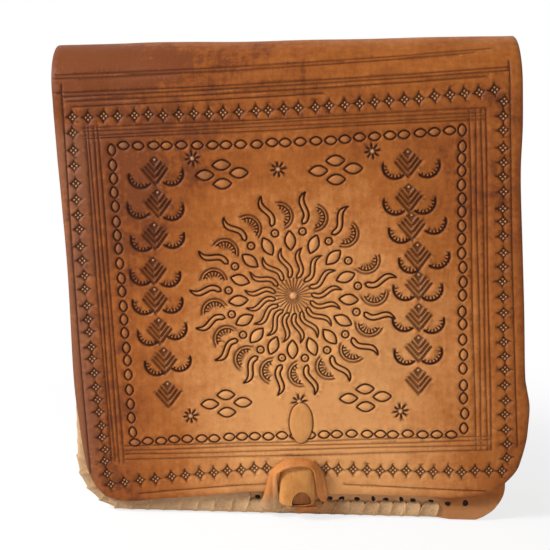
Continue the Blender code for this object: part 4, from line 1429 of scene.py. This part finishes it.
def closeBehind(piece, y):
    # A flesh side and cut edge behind a front face
    takeUp([piece])
    bpy.ops.object.mode_set(mode="EDIT")
    bpy.ops.mesh.select_mode(type="EDGE")
    bpy.ops.mesh.select_all(action="DESELECT")
    bpy.ops.mesh.select_non_manifold(extend=False, use_wire=False, use_boundary=True, use_multi_face=False,
                                     use_non_contiguous=False, use_verts=False)
    bpy.ops.mesh.extrude_region_move()
    bm = bmesh.from_edit_mesh(piece.data)
    for vert in bm.verts:
        if vert.select:
            vert.co.y = y * mm
    bmesh.update_edit_mesh(piece.data)
    bpy.ops.mesh.edge_face_add()
    bm = bmesh.from_edit_mesh(piece.data)
    for face in bm.faces:
        if face.calc_center_median().y > (body["frontFace"] + 1.0) * mm and face.material_index == 0:
            face.material_index = 1
    bmesh.update_edit_mesh(piece.data)
    leaveEdit()


frontPanel = buildFrontPanel()
closeBehind(frontPanel, body["frontBack"])
smoothByAngle(frontPanel, 55)
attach(frontPanel, "root")
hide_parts("front_panel")
print("front panel built:", len(frontPanel.data.polygons), "faces")


# The gusset: one band round the sides and the bottom, folded inwards at the sides

gusset = {
    "cells": 10,
    "creaseDepth": 8.0,
    "creaseMargin": 0.145,  # share of its width that stays flat beside each seam
    "creaseFrom": 30.0,
    "creaseFull": 110.0,
}


def gussetRing(place, outward, rise):
    # Across the bag from front to back, drawn inwards in the middle as the sides rise
    ring = []
    front, back = body["depth"]
    for k in range(gusset["cells"] + 1):
        t = k / gusset["cells"]
        fold = max(0.0, (min(t, 1 - t) - gusset["creaseMargin"]) / (0.5 - gusset["creaseMargin"]))
        drawn = gusset["creaseDepth"] * fold * rise
        spot = place - outward * drawn
        wave = 0.5 * drift3(place.x, t * 40, place.z, 30, 2)
        spot = spot - outward * (0.3 + wave * min(fold * 3, 1))
        ring.append((spot.x, front + (back - front) * t, spot.z))
    return ring


def buildGusset():
    radius = body["cornerRadius"]
    left, right, low = body["left"], body["right"], body["bottom"]
    stops = []
    for z in np.linspace(body["gussetTop"], low + radius, 26)[:-1]:
        stops.append((Vector((left, 0, z)), Vector((-1, 0, 0))))
    for t in np.linspace(0, math.pi / 2, 10):
        outward = Vector((-math.cos(t), 0, -math.sin(t)))
        stops.append((Vector((left + radius, 0, low + radius)) + outward * radius, outward))
    for x in np.linspace(left + radius, right - radius, 26)[1:-1]:
        stops.append((Vector((x, 0, low)), Vector((0, 0, -1))))
    for t in np.linspace(0, math.pi / 2, 10):
        outward = Vector((math.sin(t), 0, -math.cos(t)))
        stops.append((Vector((right - radius, 0, low + radius)) + outward * radius, outward))
    for z in np.linspace(low + radius, body["gussetTop"], 26)[1:]:
        stops.append((Vector((right, 0, z)), Vector((1, 0, 0))))
    rings = []
    for place, outward in stops:
        rise = limited((place.z - gusset["creaseFrom"]) / (gusset["creaseFull"] - gusset["creaseFrom"]))
        rings.append(gussetRing(place, outward, rise * rise * (3 - 2 * rise)))
    bpy.ops.object.select_all(action="DESELECT")
    bpy.ops.mesh.primitive_grid_add(x_subdivisions=1, y_subdivisions=gusset["cells"], size=1)
    made = newPiece("gussetBand", (bodySkin, fleshSkin))
    bpy.ops.object.mode_set(mode="EDIT")
    bm = bmesh.from_edit_mesh(made.data)
    for vert in bm.verts:
        k = round((vert.co.y + 0.5) * gusset["cells"])
        vert.co = Vector(rings[0 if vert.co.x < 0 else 1][k]) * mm
        vert.select_set(False)
    bmesh.update_edit_mesh(made.data)
    level = rings[1][0][2]
    pick("EDGE", lambda place, facing: abs(place.z - level) < 0.01)
    extrudeThrough(rings[1:])
    leaveEdit()
    if made.data.polygons[0].normal.x > 0:
        made.data.flip_normals()
    useModifier(made, "SOLIDIFY", thickness=body["thickness"] * mm, offset=-1.0,
                material_offset=1, material_offset_rim=1)
    useModifier(made, "SUBSURF", levels=1, render_levels=1)
    smoothByAngle(made, 50)
    return made


gussetBand = buildGusset()
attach(gussetBand, "root")
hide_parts("gusset")
print("gusset built:", len(gussetBand.data.polygons), "faces")


# Lacing: one pass of the thong over the edge, copied along each seam

stitch = {
    "path": (  # out of the panel's face, in from the edge, half the width, along
        (-1.0, 7.0, 2.0, 0.9), (0.35, 6.8, 3.0, 0.8), (1.05, 6.2, 4.3, 0.5), (1.28, 4.9, 5.0, 0.1),
        (1.32, 3.4, 5.1, -0.6), (1.25, 1.7, 5.2, -1.2), (0.95, 0.1, 5.3, -1.8), (0.0, -1.05, 5.3, -2.2),
        (-1.8, -1.25, 5.1, -2.6), (-4.0, -1.25, 4.4, -2.9), (-5.8, -1.1, 3.2, -3.0),
        (-6.7, -0.2, 2.2, -3.0)),
    "across": (-1.0, -0.82, -0.3, 0.3, 0.82, 1.0),
    "crown": (-1.0, -0.26, 0.16, 0.16, -0.26, -1.0),
    "thickness": 0.9,
}


def buildStitch():
    rings = []
    points = stitch["path"]
    for i, (out, inward, half, lean) in enumerate(points):
        before, after = points[max(i - 1, 0)], points[min(i + 1, len(points) - 1)]
        way = Vector((0, after[0] - before[0], after[1] - before[1])).normalized()
        proud = Vector((0, way.z, -way.y))
        ring = []
        for share, lift in zip(stitch["across"], stitch["crown"]):
            drop = lift * (1.0 if inward > 1 else 0.4)
            spot = Vector((lean + share * half, out, inward)) + proud * drop
            ring.append(tuple(spot))
        rings.append(ring)
    cells = len(stitch["across"]) - 1
    bpy.ops.object.select_all(action="DESELECT")
    bpy.ops.mesh.primitive_grid_add(x_subdivisions=cells, y_subdivisions=1, size=1)
    made = newPiece("stitch", (thongSkin,))
    bpy.ops.object.mode_set(mode="EDIT")
    bm = bmesh.from_edit_mesh(made.data)
    for vert in bm.verts:
        k = round((vert.co.x + 0.5) * cells)
        vert.co = Vector(rings[0 if vert.co.y > 0 else 1][k]) * mm
        vert.select_set(False)
    bmesh.update_edit_mesh(made.data)
    bpy.ops.mesh.select_mode(type="EDGE")
    bpy.ops.mesh.select_all(action="DESELECT")
    bm = bmesh.from_edit_mesh(made.data)
    ends = [Vector(corner) * mm for corner in rings[1]]
    for edge in bm.edges:
        if all(min((v.co - end).length for end in ends) < 1e-6 for v in edge.verts):
            edge.select_set(True)
    bmesh.update_edit_mesh(made.data)
    extrudeThrough(rings[1:])
    leaveEdit()
    if made.data.polygons[len(made.data.polygons) // 3].normal.y < 0:
        made.data.flip_normals()
    useModifier(made, "SOLIDIFY", thickness=stitch["thickness"] * mm, offset=0.0)
    useModifier(made, "SUBSURF", levels=1, render_levels=1)
    smoothByAngle(made, 80)
    return made


def buildLacing(name, face, facing, bareCorner, seed):
    # Each copy is turned to its place on the seam and pulled about a little
    drift = random.Random(seed)
    copies = []
    for i, (place, along, inward, room) in enumerate(seamStations(face)):
        values = [drift.uniform(-1, 1) for _ in range(6)]
        if bareCorner and isBare(place):
            continue
        copy = bpy.data.objects.new(name, stitchMaster.data.copy())
        bpy.context.scene.collection.objects.link(copy)
        wide = (1 + 0.05 * values[0]) * (0.25 + 0.75 * room / seam["pitch"])
        tall = seamTallness(place) if bareCorner else 1.1
        for vert in copy.data.vertices:
            x, out, deep = vert.co / mm
            x = x * wide + 0.5 * values[1] + 0.10 * values[2] * (deep - 3)
            deep = deep * tall if deep > 0 else deep
            deep = deep + 0.30 * values[3] * limited(deep / 4)
            lump = 0.22 * drift3(x, out + i * 9.1, deep, 2.6, seed)
            out = out + lump
            spot = place + along * x + Vector((0, facing * out, 0)) + inward * deep
            spot.z = max(spot.z, 0.02 if deep < 4 else spot.z)
            vert.co = spot * mm
        if facing > 0:
            copy.data.flip_normals()
        copies.append(copy)
    takeUp(copies)
    bpy.ops.object.join()
    made = bpy.context.object
    made.name = name
    made.data.name = name
    return made


stitchMaster = buildStitch()
frontThong = buildLacing("frontThong", body["frontFace"], -1, True, 3)
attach(frontThong, "root")
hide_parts("front_lacing")
backThong = buildLacing("backThong", hide["backFace"], 1, False, 4)
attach(backThong, "root")
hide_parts("back_lacing")
bpy.data.objects.remove(stitchMaster)
print("lacing built:", len(frontThong.data.polygons) + len(backThong.data.polygons), "faces")


# The toggle: a fat tongue with a notch at its foot, and the end of its strap above

toggle = {
    "x": 3.5,
    "bottom": 9.4,
    "top": 32.6,
    "halfWidth": 10.1,
    "back": -22.25,
    "thickness": 8.4,
    "cuts": 13,
    "notch": (2.7, 5.8, 9.0),  # middle from the tongue's, half its width and its height
    "notchRim": 0.30,
    "notchDepth": 2.6,
    "notchStep": 0.40,
    "slitAt": 4.1,  # from the tongue's middle
    "slitDepth": 1.0,
}


def toggleShape(x, y, z):
    # Rounded sides, a crowned face, thinner towards the top and drawn in at the foot
    u = (x - toggle["x"]) / toggle["halfWidth"]
    t = (z - toggle["bottom"]) / (toggle["top"] - toggle["bottom"])
    front = (toggle["back"] - y) / toggle["thickness"]
    crown = (1 - abs(u) ** 3.4) ** 0.5 if abs(u) < 1 else 0.0
    full = 0.60 + 0.40 * math.sin(math.pi * limited(0.14 + 0.78 * t))
    y = toggle["back"] - toggle["thickness"] * front * full * (0.46 + 0.54 * crown)
    narrow = 1 - 0.07 * max(0.0, t - 0.6) / 0.4 - 0.03 * (1 - t) ** 4
    droop = 0.9 * (1 - u * u) * (1 - t) ** 2 - 1.4 * u * t * t
    bump = 0.30 * drift3(x, y * 0.3, z, 8, 6)
    return toggle["x"] + u * narrow * toggle["halfWidth"] + 0.4 * t, y - bump * front, z - droop + 0.6


def notchReach(x, z):
    # Below 1 inside the arched notch at the foot
    off, half, tall = toggle["notch"]
    return math.hypot((x - toggle["x"] - off) / half, (z - toggle["bottom"]) / tall)


def buildToggle():
    bpy.ops.object.select_all(action="DESELECT")
    height = toggle["top"] - toggle["bottom"]
    bpy.ops.mesh.primitive_cube_add(size=1, location=(
        toggle["x"] * mm, (toggle["back"] - toggle["thickness"] / 2) * mm,
        (toggle["bottom"] + height / 2) * mm))
    bpy.context.object.scale = (2 * toggle["halfWidth"] * mm, toggle["thickness"] * mm, height * mm)
    made = newPiece("toggleTongue", (closureSkin, shadeSkin, notchShadeSkin))
    bpy.ops.object.mode_set(mode="EDIT")
    bpy.ops.mesh.subdivide(number_cuts=toggle["cuts"])
    pick("FACE", lambda place, facing: facing.y < -0.9 and notchReach(place.x, place.z) < 1)
    # The notch's edge is drawn onto its arch
    bm = bmesh.from_edit_mesh(made.data)
    for vert in bm.verts:
        inner = vert.select and any(not f.select and f.normal.y < -0.9 for f in vert.link_faces)
        if inner:
            x, z = vert.co.x / mm, vert.co.z / mm
            middle = toggle["x"] + toggle["notch"][0]
            reach = notchReach(x, z)
            vert.co.x = (middle + (x - middle) / reach) * mm
            vert.co.z = (toggle["bottom"] + (z - toggle["bottom"]) / reach) * mm
    bmesh.update_edit_mesh(made.data)
    bpy.ops.mesh.inset(thickness=toggle["notchRim"] * mm)
    deep = (0, toggle["notchDepth"] * mm, 0)
    bpy.ops.mesh.extrude_region_move(TRANSFORM_OT_translate={"value": deep})
    bpy.ops.mesh.inset(thickness=toggle["notchStep"] * mm)
    # Painted shade: the notch floor takes the darker copy of the tongue's leather; the ring round it and a
    # strip at its foot take the near-black shade finish
    bm = bmesh.from_edit_mesh(made.data)
    for face in bm.faces:
        beside = any(f.select for e in face.edges for f in e.link_faces)
        if face.select:
            face.material_index = 2
        elif beside:
            face.material_index = 1
    middle, half = toggle["x"] + toggle["notch"][0], toggle["notch"][1]
    for face in bm.faces:
        spot = face.calc_center_median() / mm
        if abs(spot.x - middle) < half and spot.z < toggle["bottom"] + 0.8 and face.normal.y < -0.3:
            face.material_index = 1
    slit = toggle["x"] + toggle["slitAt"]
    for vert in bm.verts:
        if vert.select and abs(vert.co.x / mm - slit) < 0.75 and vert.co.z / mm < toggle["bottom"] + 6.6:
            vert.co.y += toggle["slitDepth"] * mm
    bmesh.update_edit_mesh(made.data)
    bpy.ops.object.mode_set(mode="OBJECT")
    softMove(made, toggleShape)
    useModifier(made, "SUBSURF", levels=1, render_levels=1)
    smoothByAngle(made, 60)
    return made


def buildTab():
    bpy.ops.object.select_all(action="DESELECT")
    bpy.ops.mesh.primitive_circle_add(vertices=tab["points"], radius=1, fill_type="NGON",
                                      rotation=(math.pi / 2, 0, 0))
    bpy.context.object.location = (tab["centre"][0] * mm, tab["face"] * mm, tab["centre"][1] * mm)
    bpy.context.object.scale = (tab["halfWidth"] * mm, tab["halfHeight"] * mm, 1)
    made = newPiece("strapTab", (tabSkin,))
    bpy.ops.object.mode_set(mode="EDIT")
    bpy.ops.mesh.select_all(action="SELECT")
    bpy.ops.mesh.extrude_region_move(TRANSFORM_OT_translate={"value": (0, -tab["proud"] * mm, 0)})
    bpy.ops.mesh.inset(thickness=0.5 * mm)
    bpy.ops.transform.translate(value=(0, -0.25 * mm, 0))
    bpy.ops.mesh.inset(thickness=2.0 * mm)
    bpy.ops.transform.translate(value=(0, -0.12 * mm, 0))
    leaveEdit()
    softMove(made, tabShape)
    smoothByAngle(made, 50)
    return made


def tabShape(x, y, z):
    # A little narrower at its foot
    t = (tab["centre"][1] - z) / tab["halfHeight"]
    narrow = 1 - 0.12 * max(0.0, t) ** 2
    return tab["centre"][0] + (x - tab["centre"][0]) * narrow, y, z


hoop = {
    # Outer edge x, z, y, then inner edge x, z, y, from the left foot over to the right one
    "edges": (
        (-18.6, 4.4, -21.2, -3.4, 3.4, -21.2), (-17.6, 8.3, -21.6, -5.2, 7.4, -21.6),
        (-15.4, 12.7, -23.4, -6.4, 12.9, -24.6), (-14.2, 17.8, -24.8, -6.8, 18.4, -27.0),
        (-13.1, 22.0, -24.8, -7.2, 22.9, -28.4), (-11.8, 25.9, -24.8, -7.5, 26.7, -29.6),
        (-10.2, 28.8, -24.8, -6.6, 29.0, -30.4), (-7.3, 31.9, -24.8, -3.6, 30.9, -30.6),
        (-3.5, 34.4, -24.8, -0.3, 32.0, -30.6), (0.7, 36.0, -24.8, 3.1, 32.8, -30.6),
        (4.9, 36.2, -24.8, 6.2, 33.1, -30.6), (9.2, 35.4, -24.8, 9.2, 33.0, -30.4),
        (12.8, 33.8, -24.8, 11.6, 32.0, -29.8), (16.0, 31.4, -24.8, 13.0, 29.6, -29.2),
        (18.2, 27.2, -24.8, 13.3, 25.6, -28.2), (19.2, 22.8, -24.8, 13.5, 21.2, -27.0),
        (20.0, 18.1, -24.8, 13.8, 16.6, -26.0), (20.7, 14.2, -23.4, 15.2, 13.2, -24.2),
        (20.3, 11.4, -21.8, 16.4, 10.9, -22.0), (19.0, 9.4, -21.2, 17.5, 9.4, -21.2)),
    "thickness": 1.7,
    "front": (-1, -0.72, -0.44, -0.16, 0.12, 0.40, 0.70, 1),
    "rear": (1, 0.5, 0, -0.5, -1),
    "footBulge": 2.4,
    "leftFold": 0.75,
    "rightFolds": 0.70,
}


def hoopFold(a, t):
    # Creases along the strip: one down the left leg, two down the right one
    left = limited((0.38 - t) / 0.12)
    right = limited((t - 0.66) / 0.08)
    dip = hoop["leftFold"] * left * math.exp(-((a - 0.22) / 0.26) ** 2)
    dip += hoop["rightFolds"] * right * (math.exp(-((a + 0.35) / 0.22) ** 2)
                                         + math.exp(-((a - 0.45) / 0.20) ** 2))
    return 0.35 * (1 - a * a) - dip


def hoopRing(k):
    rows = hoop["edges"]
    t = k / (len(rows) - 1)
    outer, inner = (Vector((row[0], row[2], row[1])) for row in (rows[k][:3], rows[k][3:]))
    before, after = rows[max(k - 1, 0)], rows[min(k + 1, len(rows) - 1)]
    along = Vector((after[0] + after[3] - before[0] - before[3], 0,
                    after[1] + after[4] - before[1] - before[4])).normalized()
    across = (inner - outer) / 2
    proud = across.cross(along).normalized()
    if proud.y > 0:
        proud = -proud
    middle = (inner + outer) / 2
    thick = hoop["thickness"] / 2
    bulge = hoop["footBulge"] * math.exp(-(t / 0.09) ** 2)
    ring = []
    for a in hoop["front"]:
        place = middle + across * a
        lump = (0.30 + 0.25 * bulge) * drift3(place.x, place.y, place.z, 5, 5)
        lift = thick * (1 - 0.25 * a ** 4) + hoopFold(a, t) + bulge * (1 - a * a) + lump
        ring.append(tuple(place + proud * lift))
    for a in hoop["rear"]:
        ring.append(tuple(middle + across * a * 0.97 - proud * thick * (1 - 0.25 * a ** 4)))
    return ring


def buildHoop():
    rings = [hoopRing(k) for k in range(len(hoop["edges"]))]
    count = len(rings[0])
    bpy.ops.object.select_all(action="DESELECT")
    bpy.ops.mesh.primitive_circle_add(vertices=count, radius=1, fill_type="NGON")
    made = newPiece("closureHoop", (hoopSkin,))
    bpy.ops.object.mode_set(mode="EDIT")
    bm = bmesh.from_edit_mesh(made.data)
    for k, vert in enumerate(bm.verts):
        vert.co = Vector(rings[0][k]) * mm
    bmesh.update_edit_mesh(made.data)
    bpy.ops.mesh.select_all(action="SELECT")
    extrudeThrough(rings)
    leaveEdit()
    useModifier(made, "SUBSURF", levels=2, render_levels=2)
    smoothByAngle(made, 70)
    return made


band = {
    "middle": (6.0, -22.3, 6.3),
    "size": (17.0, 1.8, 2.7),
    "cuts": 7,
    "sag": 0.8,
}


def bandShape(x, y, z):
    # Bowed down in the middle and drawn in at its ends
    u = (x - band["middle"][0]) / (band["size"][0] / 2)
    thin = 1 - 0.55 * abs(u) ** 3
    lump = 0.25 * drift3(x, y, z, 4, 9)
    return (x, band["middle"][1] + (y - band["middle"][1]) * thin + 0.7 * u * u + lump * 0.5,
            band["middle"][2] + (z - band["middle"][2]) * thin - band["sag"] * (1 - u * u) + lump)


def buildBand():
    # The strip's other end, drawn through under the tongue
    bpy.ops.object.select_all(action="DESELECT")
    bpy.ops.mesh.primitive_cube_add(size=1, location=tuple(Vector(band["middle"]) * mm))
    bpy.context.object.scale = Vector(band["size"]) * mm
    made = newPiece("closureBand", (hoopSkin,))
    bpy.ops.object.mode_set(mode="EDIT")
    bpy.ops.mesh.select_all(action="SELECT")
    bpy.ops.mesh.subdivide(number_cuts=band["cuts"])
    bpy.ops.object.mode_set(mode="OBJECT")
    softMove(made, bandShape)
    useModifier(made, "SUBSURF", levels=1, render_levels=1)
    smoothByAngle(made, 70)
    return made


toggleTongue = buildToggle()
closureBand = buildBand()
strapTab = buildTab()
closureHoop = buildHoop()
for piece in (toggleTongue, strapTab):
    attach(piece, "flap")
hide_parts("toggle")
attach(closureHoop, "loop")
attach(closureBand, "loop")
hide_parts("closure_loop")
print("closure built")


# The hide as it was cut, one sheet modelled as its flap and its back: their outlines on the sheet, each
# paired with the pieces under it, which the loop below does nothing with


def backOutline():
    radius, low = body["cornerRadius"], hide["backStart"] + hide["foldZ"] - body["bottom"]
    steps = np.linspace(hide["apex"], low - radius, 40)
    left = [(acrossBack(body["left"], w), w) for w in steps]
    right = [(acrossBack(body["right"], w), w) for w in steps[::-1]]
    turns = np.linspace(0, math.pi / 2, 16)
    leftTurn = [(body["left"] + radius - radius * math.cos(t), low - radius + radius * math.sin(t))
                for t in turns]
    rightTurn = [(body["right"] - radius + radius * math.sin(t), low - radius + radius * math.cos(t))
                 for t in turns]
    return np.array(left + leftTurn + rightTurn + right)


for piece, outline, under in ((tooledFlap, toSheet(flapOutline()[0]), [frontPanel, hideBack]),
                              (hideBack, backOutline(), [gussetBand])):
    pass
